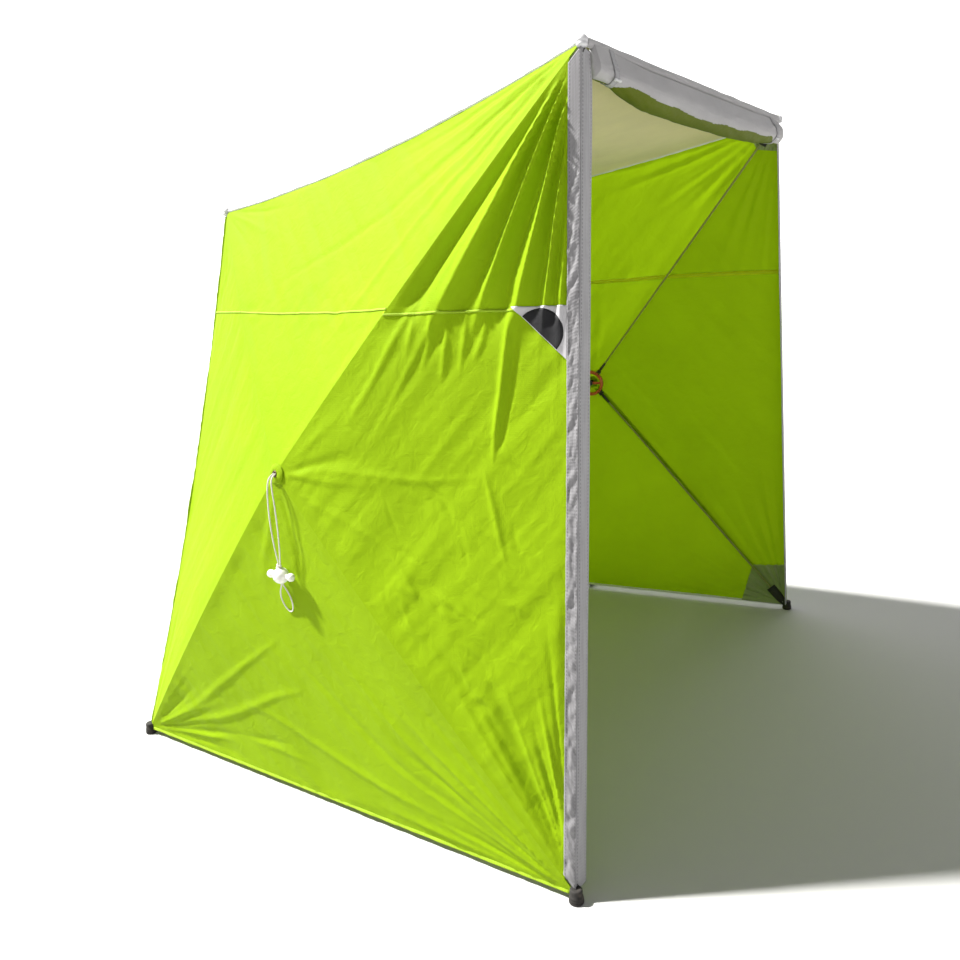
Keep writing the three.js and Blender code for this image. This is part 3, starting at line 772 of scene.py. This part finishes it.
def triangle_grid(n):
    """Weights and faces of a triangle split into n rows."""
    index, weights = {}, []
    for i in range(n + 1):
        for j in range(n + 1 - i):
            index[i, j] = len(weights)
            weights.append((1 - (i + j) / n, i / n, j / n))
    faces = []
    for i in range(n):
        for j in range(n - i):
            faces.append((index[i, j], index[i + 1, j], index[i, j + 1]))
            if i + j < n - 1:
                faces.append((index[i + 1, j], index[i + 1, j + 1], index[i, j + 1]))
    return np.array(weights), faces


def add_cloth(facet, rows):
    weights, faces = triangle_grid(rows)
    a, b, c = facet.inset_weights(*weights.T)
    points, uvs = facet.surface(a, b, c), facet.uvs(a, b, c)
    piece = make_piece(facet.name + "_cloth", points, faces, uvs, "lime", facet.body)
    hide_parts(facet.body)


def add_seam(facet):
    """The tapes over the join of the two cloth widths, inside and out, at the seam's height."""
    above = np.array([facet.first[2], facet.second[2], facet.apex[2]]) - SEAM_HEIGHT[facet.wall]
    ends = []
    for i, j in ((0, 1), (1, 2), (2, 0)):
        if above[i] * above[j] < 0:
            weights = np.zeros(3)
            weights[j] = above[i] / (above[i] - above[j])
            weights[i] = 1 - weights[j]
            ends.append(np.array(facet.inset_weights(*weights)))
    if len(ends) < 2:
        return
    t = np.linspace(0.002, 0.998, 160)[:, None]
    middle = ends[0] * (1 - t) + ends[1] * t
    step = np.array(facet.weights_of(facet.first + square_to(-UP, facet.z))) - (1, 0, 0)
    run = run_length(facet.flat(*middle.T))[:, None]
    for label, width, lift, material in (
        ("inside", SEAM_TAPE, SEAM_INSIDE, "seam"),
        ("outside", SEAM_LAP, SEAM_OUTSIDE, "lime_tape"),
    ):
        lines = [facet.surface(*(middle + step * side * width).T) for side in (-0.5, 0.0, 0.5)]
        points = np.stack(lines, axis=1) + facet.z * lift
        name = f"{facet.name}_seam_{label}"
        piece = make_net(name, points, run, [0, 0.5, 1], material, facet.body, "lime_cloth")
        thicken(piece, TAPE_THICKNESS)


def add_corner_patch(facet, label, spot):
    """Half of the cloth patch inside a wall corner, which strengthens it where the rod pushes."""
    weights, faces = triangle_grid(PATCH_ROWS)
    reach = PATCH_REACH.get(spot, USUAL_PATCH_REACH)
    to_edge = reach / facet.length
    to_hub = 1.15 * reach / np.linalg.norm(facet.apex - CORNER[spot])
    near, far = 1 - weights[:, 1] * to_edge - weights[:, 2] * to_hub, weights[:, 1] * to_edge
    a, b = (near, far) if label == "start" else (far, near)
    a, b, c = facet.inset_weights(a, b, weights[:, 2] * to_hub)
    points, uvs = facet.surface(a, b, c) - PATCH_DEPTH * facet.z, facet.uvs(a, b, c)
    name = f"{facet.name}_patch_{label}"
    thicken(make_piece(name, points, faces, uvs, "patch", facet.body), PATCH_THICKNESS)


def add_crease_strip(sewn_to, behind, spot, width):
    """Spare cloth sewn to one facet and lying behind the next. It covers the crease as the wall folds in."""
    t, q = np.meshgrid(np.linspace(0.05, 0.965, 120), [0.0, 0.06, 0.2, 0.4, 0.7, 1.0], indexing="ij")
    crease = np.linalg.norm(behind.apex - CORNER[spot])
    far = q * t * width * crease / (2 * behind.area)
    near = 1 - t - far
    a, b = (near, far) if spot == behind.start else (far, near)
    depth = 0.0006 + 0.0058 * smoothstep(q / 0.2)
    points = behind.surface(a, b, t) - depth[..., None] * behind.z
    name = f"{sewn_to.name}_strip_behind_{behind.part}"
    strip = make_net(name, points, t * crease, q * width, "lime", sewn_to.body, "lime_cloth")
    thicken(strip, STRIP_THICKNESS)


def make_facets():
    facets = {}
    for wall_number, (wall_name, wall) in enumerate(WALLS.items()):
        corners = wall["corners"]
        for i, part in enumerate(wall["parts"]):
            start, end = corners[i], corners[(i + 1) % 4]
            seed = 20 + 10 * (4 * wall_number + i)
            by_hand = wall_name == "left"
            folds = left_folds(part) if by_hand else random_folds(seed)
            facet = facets[wall_name, part] = Facet(wall_name, part, start, end, folds, seed)
            add_cloth(facet, FINE_ROWS if by_hand and part != "rear" else COARSE_ROWS)
            add_seam(facet)
            add_corner_patch(facet, "start", start)
            add_corner_patch(facet, "end", end)
        for i in wall["opening_creases"]:
            pair = [facets[wall_name, wall["parts"][k]] for k in (i, i - 1)]
            for sewn_to, behind in (pair, pair[::-1]):
                add_crease_strip(sewn_to, behind, corners[i], wall["strip_width"])
    return facets["left", "front"]


# ---- roof ----
def roof_point(s, t):
    """A place on the roof: s from left to right, t from front to rear."""
    left = edge_curve("front_left_top", "rear_left_top", t)
    right = edge_curve("front_right_top", "rear_right_top", t)
    surface = left * (1 - s[..., None]) + right * s[..., None]
    slack = 4 * s * (1 - s) * (1 - (2 * t - 1) ** 4)
    fans = np.zeros_like(s)
    for seed, (u, v) in enumerate(((s, t), (1 - s, t), (s, 1 - t), (1 - s, 1 - t)), 3):
        angle = np.arctan2(v + 1e-6, u + 1e-6)
        reach = np.exp(-np.hypot(u, v) / 0.28)
        fans += 0.006 * reach * lattice_noise(angle * 9, 0 * angle + 0.5, seed)
    fine = 0.003 * lattice_noise(s * 6, t * 7, 7) + 0.0012 * lattice_noise(s * 22, t * 24, 8)
    from_edge = np.minimum(np.minimum(s, 1 - s), np.minimum(t, 1 - t))
    surface[..., 2] += (fans + fine) * smoothstep(from_edge / 0.05) - 0.012 * slack
    return surface


def make_roof():
    width, depth, rows = 1.4, 1.55, 90
    s, t = np.meshgrid(np.linspace(0.004, 0.996, rows), np.linspace(0.008, 0.996, rows))
    # the cover stands loose over the turning edge of each side wall's top facet
    from_edge = np.minimum(s, 1 - s) * width
    loose = smoothstep(from_edge / 0.02) * (1 - smoothstep((from_edge - 0.05) / 0.12)) * 4 * t * (1 - t)
    for name, rise, material, slot in (
        ("roof_lining", 0 * s - 0.002, "roof", "roof_cloth"),
        ("roof_cover", 0.001 + COVER_LOOSE * loose, "white", "white_cloth"),
    ):
        points = roof_point(s, t) + rise[..., None] * UP
        piece = make_net(name, points, s * width, t * depth, material, "frame", slot)
        if name == "roof_lining":
            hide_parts("roof_panel")


# ---- edges ----
def webbing_section(width, thickness):
    """A flat closed section with rounded edges."""
    quarter = np.array([(-1 / 2, -1 / 4), (-1 / 2.3, -1 / 2), (-1 / 6, -1 / 2.4)])
    lower = np.vstack([quarter, quarter[::-1] * (-1, 1)])
    return np.vstack([lower, -lower]) * (width, thickness)


def make_edges():
    """Folded webbing sewn over each cloth edge from one corner boot to the next."""
    left, right, rear = (WALLS[w]["normal"] for w in ("left", "right", "rear"))
    white, lime = ("binding", "white_cloth"), ("lime_tape", "lime_cloth")
    roof_size, corner_size, hem_size = (0.010, 0.008), (0.009, 0.006), (0.010, 0.004)
    bindings = (
        ("roof_left_binding", "front_left_top", "rear_left_top", roof_size, left + UP, white),
        ("roof_right_binding", "front_right_top", "rear_right_top", roof_size, right + UP, white),
        ("roof_rear_binding", "rear_left_top", "rear_right_top", roof_size, rear + UP, white),
        ("rear_left_binding", "rear_left_foot", "rear_left_top", corner_size, left + rear, lime),
        ("rear_right_binding", "rear_right_foot", "rear_right_top", corner_size, right + rear, lime),
        ("left_hem", "front_left_foot", "rear_left_foot", (0.009, 0.004), left, lime),
        ("right_hem", "front_right_foot", "rear_right_foot", hem_size, right, white),
        ("rear_hem", "rear_left_foot", "rear_right_foot", hem_size, rear, white),
    )
    for seed, (name, start, end, size, facing, (material, slot)) in enumerate(bindings, 31):
        path = edge_curve(start, end, np.linspace(0.010, 0.990, 220))
        along = run_length(path)
        ripple = lattice_noise(along * 60, 0 * along, seed) * 0.0012
        sway = lattice_noise(along * 9, 0 * along + 3, seed) * 0.0012
        wobble = np.column_stack([0.6 * sway, ripple + sway])[:, None]
        section = webbing_section(*size)
        piece = sweep(name + "_webbing", path, section, facing, material, "frame", slot, wobble)
        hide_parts(name)


def pucker(along, across, seed):
    """Small slanting gathers of a post tape, strongest between its two rows of stitches."""
    slanted = lattice_noise(along * 42 + across * 1.4, across * 2.5, seed)
    fine = lattice_noise(along * 120 - across * 2.0, across * 5, seed + 1)
    return (slanted + 0.4 * fine) * np.sin(math.pi * np.clip(across, 0, 1)) ** 0.6


def make_post_tapes(facet):
    """The gathered tape in the left wall by its front post, and the flat tapes on both front posts."""
    t, s = np.meshgrid(np.linspace(0.006, 0.994, 620), np.linspace(0, 1, 13), indexing="ij")
    c = s * (facet.inset + 0.002)
    along = t * facet.length
    puckers = 0.0032 * smoothstep((0.92 - t) / 0.10) * pucker(along, s, 51)
    height = 0.0022 + puckers + 0.0012 * lattice_noise(along * 7, s * 2, 52)
    points = facet.smooth_surface((1 - c) * (1 - t), (1 - c) * t, c) + height[..., None] * facet.z
    side = make_net("front_left_side_band", points, along, s, "side_tape", "frame", "tape")
    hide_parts("front_left_side_tape")
    thicken(side, SIDE_TAPE_THICKNESS, -1.0)
    doorway = unit(CORNER["front_right_foot"] - CORNER["front_left_foot"])
    for name, inward, width, seed in (
        ("front_left", doorway, LEFT_POST_TAPE + TAPE_LAP, 53),
        ("front_right", -doorway, RIGHT_POST_TAPE + TAPE_LAP, 54),
    ):
        foot, top = CORNER[name + "_foot"], CORNER[name + "_top"]
        run = unit(top - foot)
        inward = square_to(inward, run)
        outward = np.cross(run, inward)
        outward *= -np.sign(outward[1])  # forwards, out of the doorway
        along = t * np.linalg.norm(top - foot)
        in_from_post = s * width * (1 - 0.25 * smoothstep((t - 0.96) / 0.04))
        rounded = 0.004 * (1 - s) ** 4
        waves = 0.0016 * lattice_noise(along * 5, s * 1.6, seed) + 0.0005 * pucker(along, s, seed + 9)
        points = foot + along[..., None] * run + in_from_post[..., None] * inward
        points += (0.0015 + waves - rounded)[..., None] * outward
        band = make_net(name + "_face_band", points, along, s, "tape", "frame", "tape")
        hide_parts(name + "_face_tape")
        thicken(band, FACE_TAPE_THICKNESS)


# ---- header, rolled-up door and its loops ----
HEADER_START = CORNER["front_left_top"]
HEADER_LENGTH = np.linalg.norm(CORNER["front_right_top"] - HEADER_START)
HEADER_RUN = (CORNER["front_right_top"] - HEADER_START) / HEADER_LENGTH
HEADER_OUT = np.cross(HEADER_RUN, UP)  # out of the doorway
ROLL_SPAN = HEADER_LENGTH - 2 * ROLL_END


def make_header():
    around = 14
    path = HEADER_START + (np.linspace(0.012, 0.988, 300) * HEADER_LENGTH)[:, None] * HEADER_RUN
    round_circle = circle(1.0, around)
    noise = lattice_noise(run_length(path)[:, None] * 12, 2 + round_circle[:, 0] * 1.5, 61)
    wobble = 0.0012 * noise[..., None] * round_circle
    section = circle(HEADER_RADIUS, around, 0.75)
    sleeve = sweep("header_sleeve", path, section, HEADER_OUT, "white", "frame", "white_cloth", wobble)
    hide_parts("header_band")


def roll_surface(length, angle, lift=0.0):
    """The outside of the rolled-up door, at a length from its left end and an angle round its axis."""
    share = (ROLL_END + length) / HEADER_LENGTH
    drop = ROLL_DROP + 4 * ROLL_SAG * share * (1 - share)
    path = HEADER_START + (ROLL_END + length)[..., None] * HEADER_RUN - drop[..., None] * UP
    t = length / ROLL_SPAN
    full = smoothstep(t / 0.22) * (1 - 0.25 * smoothstep((t - 0.8) / 0.2))
    radius = ROLL_THIN + (ROLL_THICK - ROLL_THIN) * full
    radius = radius + 0.0022 * ripples(length * 5 + np.cos(angle), 1.2 * np.sin(angle), 71)
    radius = radius + 0.0011 * ripples(length * 19 + 2 * np.cos(angle), 2.2 * np.sin(angle), 75)
    for at in (TOGGLE_INSET, ROLL_SPAN - TOGGLE_INSET):
        radius = radius - 0.0035 * np.exp(-(((length - at) / 0.03) ** 2))
    rise = np.clip(np.sin(angle), 0, 1) ** 5  # the cloth comes down from the header to the top of the roll
    height = np.sin(angle) * (radius * 0.98 + lift) + rise * (drop - 0.012 - radius)
    width = np.cos(angle) * (radius + lift) * (1 - 0.35 * rise) + 0.006 * rise
    lowered = 0.012 * (1 - full)  # the thin left end hugs the header
    return path + width[..., None] * HEADER_OUT + (height + lowered)[..., None] * UP


def make_door_roll():
    """The door rolled up under the header. Its white border is outermost, with lime cloth below it, coloured
    far darker than the walls: its darker inner face and painted shade under the roll.
    """
    count, around = 420, 132
    t = np.linspace(-0.012, 1, count)
    angles = np.linspace(0, 2 * math.pi, around, endpoint=False)
    length, angle = np.meshgrid(t * ROLL_SPAN, angles, indexing="ij")
    points = roll_surface(length, angle)
    looks = ("white", "frame", "white_cloth")
    roll = make_net("rolled_door", points, length, angle * 0.04, *looks, wrap=True, ends=True)
    # the lime part of the roll takes the dark door cloth, which holds painted shade
    roll.data.materials.append(MATERIALS["door"])
    # the wavy line where the white border ends, as an angle below the level of the axis
    border = -0.55 + 0.34 * ripples(t * 5.0, t * 0, 77, 3) - 1.2 * smoothstep((0.10 - t) / 0.06)
    border = border - 0.9 * smoothstep((t - 0.90) / 0.06)
    signed = (angles + math.pi) % (2 * math.pi) - math.pi
    shows_lime = (signed < border[:-1, None]) | (signed > math.pi - 0.7)
    for face, lime in zip(roll.data.polygons, shows_lime.ravel()):
        face.material_index = int(lime)
    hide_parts("door_roll")


def make_toggles():
    """The straps that hold the roll up, each with a peg."""
    peg = [(0, -17), (3, -16.5), (4.2, -13), (2.8, -4), (2.8, 4), (4.2, 13), (3, 16.5), (0, 17)]
    angles = np.linspace(0, 2 * math.pi, 96, endpoint=False)
    x, angle = np.meshgrid(np.linspace(-0.5, 0.5, 9), angles, indexing="ij")
    for name, at in (("left", TOGGLE_INSET), ("right", ROLL_SPAN - TOGGLE_INSET)):
        points = roll_surface(at + x * STRAP_WIDTH, angle, STRAP_LIFT)
        looks = ("tape", "frame", "tape")
        strap = make_net(f"{name}_toggle_strap", points, angle * 0.04, x + 0.5, *looks, wrap=True)
        thicken(strap, STRAP_THICKNESS)
        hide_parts(f"{name}_toggle_loop")
        place = roll_surface(np.array(at), np.array(-0.55), PEG_LIFT)
        lathe(f"{name}_toggle_peg", peg, place, HEADER_RUN, 16, "cap", "frame", "tape")


# ---- corner caps, boots and stake loops ----
def make_corners():
    cap_profile = [
        (0, 13.8), (4.2, 13.4), (8.2, 11.4), (11.2, 8.2), (13, 4), (13.4, 0), (13.6, -3), (12.2, -3.6),
        (12.8, -6.2), (13, -10), (12.2, -12.8), (9.5, -13.6), (0, -13.6),
    ]
    rivet_profile = [(0, 1.2), (2.6, 1), (3.8, -0.6), (0, -0.6)]
    boot_profile = [
        (0, 0), (16.5, 0), (18.6, 1.3), (18.9, 5.2), (17, 6.6), (18.4, 8.3), (18.1, 11.5), (16.4, 13),
        (17.6, 14.7), (17.1, 18.4), (15.6, 19.8), (16, 28.2), (15.6, 33.8), (13.8, 36.2), (10, 36.6),
        (0, 34.5),
    ]
    for post in POSTS:
        top, foot = CORNER[post + "_top"], CORNER[post + "_foot"]
        lean = unit(top - foot)
        cap = lathe(post + "_cap_shell", cap_profile, top, lean, 36, "cap", "frame", "cap")
        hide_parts(post + "_cap")
        lathe(post + "_cap_rivet", rivet_profile, top + 0.0136 * lean, lean, 20, "patch", "frame", "cap")
        boot = lathe(post + "_boot", boot_profile, foot * (1, 1, 0), UP, 36, "rubber", "frame", "boot")
        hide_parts(post + "_foot")


def make_stake_loops():
    """Webbing loops at the middle of two hems: out along the ground and back."""
    # shares of the reach outwards, and millimetres below the hem's middle
    loop = ((0, -2), (0.3, 4), (0.7, 12), (1, 16.5), (0.7, 17.8), (0.3, 12), (0, 4))
    for side, start in (("right", "front_right_foot"), ("rear", "rear_left_foot")):
        name = side + "_stake_loop"
        low, high = np.array(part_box(name))
        middle = edge_curve(start, "rear_right_foot", np.array(0.5))
        outward = square_to(WALLS[side]["normal"], UP)
        size = (high - low)[:2]
        reach = abs(((low + high) / 2 - middle)[:2] @ outward[:2]) + 0.25 * size.sum()
        path = smooth_path([middle + outward * share * reach - UP * drop / 1000 for share, drop in loop], 60)
        along = unit(CORNER["rear_right_foot"] - CORNER[start])
        section = webbing_section(STAKE_LOOP_WIDTH, STAKE_LOOP_THICKNESS)
        over = np.cross(tangents(path), along)[:, None]
        points = path[:, None] + section[:, :1] * along + section[:, 1:] * over
        v = section[:, 0] / STAKE_LOOP_WIDTH + 0.5
        looks = ("strap", "frame", "boot")
        strap = make_net(name + "_strap", points, run_length(path)[:, None], v, *looks, wrap=True)
        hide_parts(name)


# ---- hubs and rods ----
def rod_target(wall, corner_name):
    """The point in the wall's corner that a rod aims at."""
    return CORNER[corner_name] - ROD_TARGET_DEPTH * wall["normal"]


def make_hub(wall_name, wall):
    """A hub's ring, bridge and post, and for each corner of the wall two cheeks, a pin and a rod."""
    normal = wall["normal"]
    centre = wall["apex"] - HUB_DEPTH * normal
    body = wall_name + "_hub"
    ring_profile = [
        (45.2, -4), (47, -6.2), (56, -6.6), (58.8, -4.5), (59, 4), (57, 6.4), (48, 6.6), (46, 4.8),
        (45.2, 3), (45.2, -4),
    ]
    ring = lathe(wall_name + "_hub_ring", ring_profile, centre, normal, 72, "hub", body, "hub")
    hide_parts(body)
    side = np.cross(square_to(UP, normal), normal)
    bar = [centre + x * side for x in (-0.0465, -0.016, 0.016, 0.0465)]
    bar_side = np.array([(-0.0055, -0.002), (-0.004, -0.003), (0.004, -0.003), (0.0055, -0.002)])
    bar_section = np.vstack([bar_side, -bar_side])
    sweep(wall_name + "_hub_bridge", smooth_path(bar, 24), bar_section, normal, "hub", body, "hub")
    post_profile = [
        (0, -5), (10, -5), (11.2, -3.5), (11.2, 2.5), (8.5, 4.5), (6.8, 12), (6.6, 23.5), (7.8, 25),
        (7.4, 26.2), (0, 26.2),
    ]
    lathe(wall_name + "_hub_post", post_profile, centre, normal, 28, "socket", body, "hub")
    pin_end = [(0, -10.5), (3, -10.5), (3.4, -9.8), (2.2, -8.8)]
    pin_profile = pin_end + [(radius, -height) for radius, height in pin_end[::-1]]
    plate = [(-0.0072, -0.0013), (0.0072, -0.0013), (0.0072, 0.0013), (-0.0072, 0.0013)]
    for rod, corner_name in zip(wall["rods"], wall["corners"]):
        target = rod_target(wall, corner_name)
        flat = square_to(target - centre, normal)
        cross = np.cross(normal, flat)
        pin = centre + PIN_RADIUS * flat
        name = f"{wall_name}_{rod}"
        for label, turn in (("left", 1), ("right", -1)):
            middle = pin + cross * turn * CHEEK_GAP
            cheek = middle + np.array([-0.014, -0.004, 0.004, 0.008])[:, None] * flat
            sweep(f"{name}_cheek_{label}", cheek, plate, cross, "socket", body, "hub")
        lathe(name + "_pin", pin_profile, pin, cross, 18, "steel", body, "hub")
        add_rod(name, pin, target)


def add_rod(name, pin, target):
    """A rod from its hinge pin nearly to the corner, with a moulded eye and a metal end sleeve."""
    body = name + "_rod"
    run, end = unit(target - pin), np.linalg.norm(target - pin) - ROD_TIP
    path = pin + np.linspace(ROD_START, end, 90)[:, None] * run
    rod = sweep(name + "_shaft", path, circle(ROD_RADIUS, 18), UP, "rod", body, "rod")
    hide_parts(body)
    eye = [
        (0, -4), (4.2, -3.5), (5.4, 2), (5.6, 20), (6.6, 21.5), (6.6, 24.5), (5.6, 26), (5.4, 55), (5, 58),
        (4.4, 58.5), (0, 58.5),
    ]
    lathe(name + "_eye", eye, pin, run, 20, "socket", body, "rod")
    sleeve = [(0, -50), (4.6, -50), (5.2, -48.5), (5.2, -3), (4.6, 0), (0, 1.2)]
    lathe(name + "_tip", sleeve, pin + end * run, run, 20, "steel", body, "rod")


def add_rod_pocket(wall_name, wall, rod, corner_name):
    """The webbing pocket over the end of a rod in its wall corner."""
    target, normal = rod_target(wall, corner_name), wall["normal"]
    run = unit(target - (wall["apex"] - HUB_DEPTH * normal))
    cross = unit(np.cross(normal, run))
    over = np.cross(run, cross)
    over *= np.sign(over @ normal)
    s, q = np.meshgrid(np.linspace(0, 1, 22), np.linspace(-1, 1, 15), indexing="ij")
    half_width = POCKET_HALF_WIDTH * (1 - 0.45 * s**3)
    back = POCKET_LENGTH * (1 - s) + 0.010
    bulge = POCKET_BULGE * np.cos(q * math.pi / 2) ** 0.6 * (1 - 0.35 * s**4)
    depth = bulge + 0.0008 * lattice_noise(s * 9, q * 3, 81) - 0.004
    points = target - back[..., None] * run + (q * half_width)[..., None] * cross - depth[..., None] * over
    name, body = f"{wall_name}_{corner_name}_pocket", f"{wall_name}_{rod}_rod"
    thicken(make_net(name, points, s * 0.09, q / 2 + 0.5, "strap", body, "tape"), POCKET_THICKNESS)


# ---- grommets, pull cord, ball and badge ----
def add_grommet(wall_name, wall):
    """A round of doubled cloth and an eyelet where the facets meet, over the hub's post."""
    body = wall_name + "_hub"
    patch = [
        (6.8, 1.6), (12, 2.4), (20, 1.6), (26.5, -1.6), (28.5, -3.6), (27, -5), (12, -1.5), (6.8, -0.8),
        (6.8, 1.6),
    ]
    lathe(wall_name + "_apex_patch", patch, wall["apex"], wall["normal"], 48, "lime", body, "lime_cloth")
    eyelet = [
        (4.2, -1), (4.6, 3), (6.2, 4.2), (8.4, 3.6), (9.2, 2.2), (8, 1.4), (5, -0.5), (4.2, -1),
    ]
    lathe(wall_name + "_eyelet", eyelet, wall["apex"], wall["normal"], 40, "brass", body, "hub")


def make_pull_cord():
    """The cord looped through the left hub's eyelet, with the ball, its grips and the knot on it."""
    facet = Facet("left", "bottom", "rear_left_foot", "front_left_foot", {}, 0)
    down = square_to(-UP, facet.z)
    side = np.cross(down, facet.z)

    def place(across, below, out):
        """A place given in millimetres from the eyelet."""
        return facet.apex + (across * side + below * down + out * facet.z) / 1000

    front_strand = [
        (4, -1, 1), (4, 3, 12), (6, 12, 21), (9, 34, 26), (13, 80, 28), (14, 140, 29), (10, 200, 29),
        (4.5, 240, 29), (3, 262, 29), (3, 300, 29), (6, 312, 27), (16, 330, 24), (21, 352, 20),
        (17, 376, 15), (6, 391, 12),
    ]
    rear_strand = [(-x * 0.9, y, z) for x, y, z in front_strand[::-1]]
    path = smooth_path([place(*q) for q in front_strand + rear_strand], 260)
    curve = bpy.data.curves.new("pull_cord", "CURVE")
    curve.dimensions = "3D"
    spline = curve.splines.new("POLY")
    spline.points.add(len(path) - 1)
    spline.points.foreach_set("co", np.column_stack([path, np.ones(len(path))]).ravel())
    curve.bevel_depth = CORD_DIAMETER / 2
    curve.bevel_resolution = 4
    curve.materials.append(MATERIALS["cord"])
    cord = bpy.data.objects.new("pull_cord", curve)
    bpy.context.collection.objects.link(cord)
    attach(cord, "left_pull")
    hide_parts("pull_cord_front_strand", "pull_cord_rear_strand", "pull_cord_hand_loop")

    centre = place(0, 280, 29)
    axis = unit(place(0, 300, 29) - place(0, 260, 29))
    steps = [math.radians(degrees) for degrees in range(72, -73, -9)]
    ball_profile = [(6.2, 21.8), *((22.6 * math.cos(a), 22.6 * math.sin(a)) for a in steps)]
    ball_profile += [(6.2, -21.8), (5.2, -18), (5.2, 18), (6.2, 21.8)]
    ball = lathe("pull_ball_shell", ball_profile, centre, axis, 48, "ball", "left_pull", "ball")
    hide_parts("pull_ball")
    # a short handle bar through the ball gives the fingers a grip on either side
    grip = [(0, 49), (6, 48.2), (10.5, 44), (11.8, 38), (10, 32), (7, 28), (6.4, 20), (0, 19.5)]
    for label, way in (("front", side), ("rear", -side)):
        lathe(f"pull_grip_{label}", grip, centre, way, 32, "ball", "left_pull", "ball")
    turns = np.arange(0, 12.6, 0.7)
    knot = [place(6 * math.cos(k) + 0.6 * k, 247 + 2.2 * k / 1.6, 29 + 5.5 * math.sin(k)) for k in turns]
    tilt, looks = UP + 0.3 * side, ("cord", "left_pull", "cord")
    knotted = sweep("pull_knot", smooth_path(knot, 120), circle(KNOT_CORD_RADIUS, 10), tilt, *looks)


def make_badge(facet):
    """A triangular cloth patch under the seam beside the post, with a plain half disc on its long side."""
    normal = facet.z
    down = square_to(-UP, normal)
    level = np.cross(normal, down)
    level *= np.sign(level @ facet.y)  # away from the post, towards the hub
    # the corner by the post, just under the seam
    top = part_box("badge_patch")[1][2]
    c = facet.inset
    b = (top - c * facet.apex[2] - (1 - c) * facet.first[2]) / (facet.second[2] - facet.first[2])
    corner = facet.smooth_surface(*(np.array(w) for w in (1 - b - c, b, c)))
    weights, faces = triangle_grid(BADGE_ROWS)
    uvs = weights[:, 1:] * (BADGE_WIDTH, BADGE_HEIGHT)
    flat = corner + uvs @ np.array([level, down])
    points = facet.surface(*facet.weights_of(flat)) + BADGE_LIFT * normal
    patch = make_piece("badge_cloth", points, faces, uvs, "badge", facet.body)
    thicken(patch, BADGE_THICKNESS)
    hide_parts("badge_patch")
    # half disc: flat side along the slanting edge
    slant = unit(-BADGE_WIDTH * level + BADGE_HEIGHT * down)
    middle = corner + 0.5 * (BADGE_WIDTH * level + BADGE_HEIGHT * down)
    inward = np.cross(normal, slant)
    inward *= np.sign((corner - middle) @ inward)
    radius, sector = np.meshgrid(np.linspace(0, DISC_RADIUS, 12), np.linspace(0, math.pi, 48), indexing="ij")
    sideways, inwards = radius * np.cos(sector), radius * np.sin(sector) + DISC_OFFSET
    flat = middle + sideways[..., None] * slant + inwards[..., None] * inward
    points = facet.surface(*facet.weights_of(flat)) + DISC_LIFT * normal
    u, v = (flat - corner) @ level, (flat - corner) @ down
    mark = make_net("badge_half_disc", points, u, v, "badge_print", facet.body, "hub")
    weld(mark, 1e-6)
    thicken(mark, DISC_THICKNESS)


make_pull_cord()
left_front = make_facets()
make_roof()
make_edges()
make_post_tapes(left_front)
make_header()
make_door_roll()
make_toggles()
make_corners()
make_stake_loops()
for wall_name, wall in WALLS.items():
    make_hub(wall_name, wall)
    add_grommet(wall_name, wall)
    for rod, corner_name in zip(wall["rods"], wall["corners"]):
        add_rod_pocket(wall_name, wall, rod, corner_name)
make_badge(left_front)
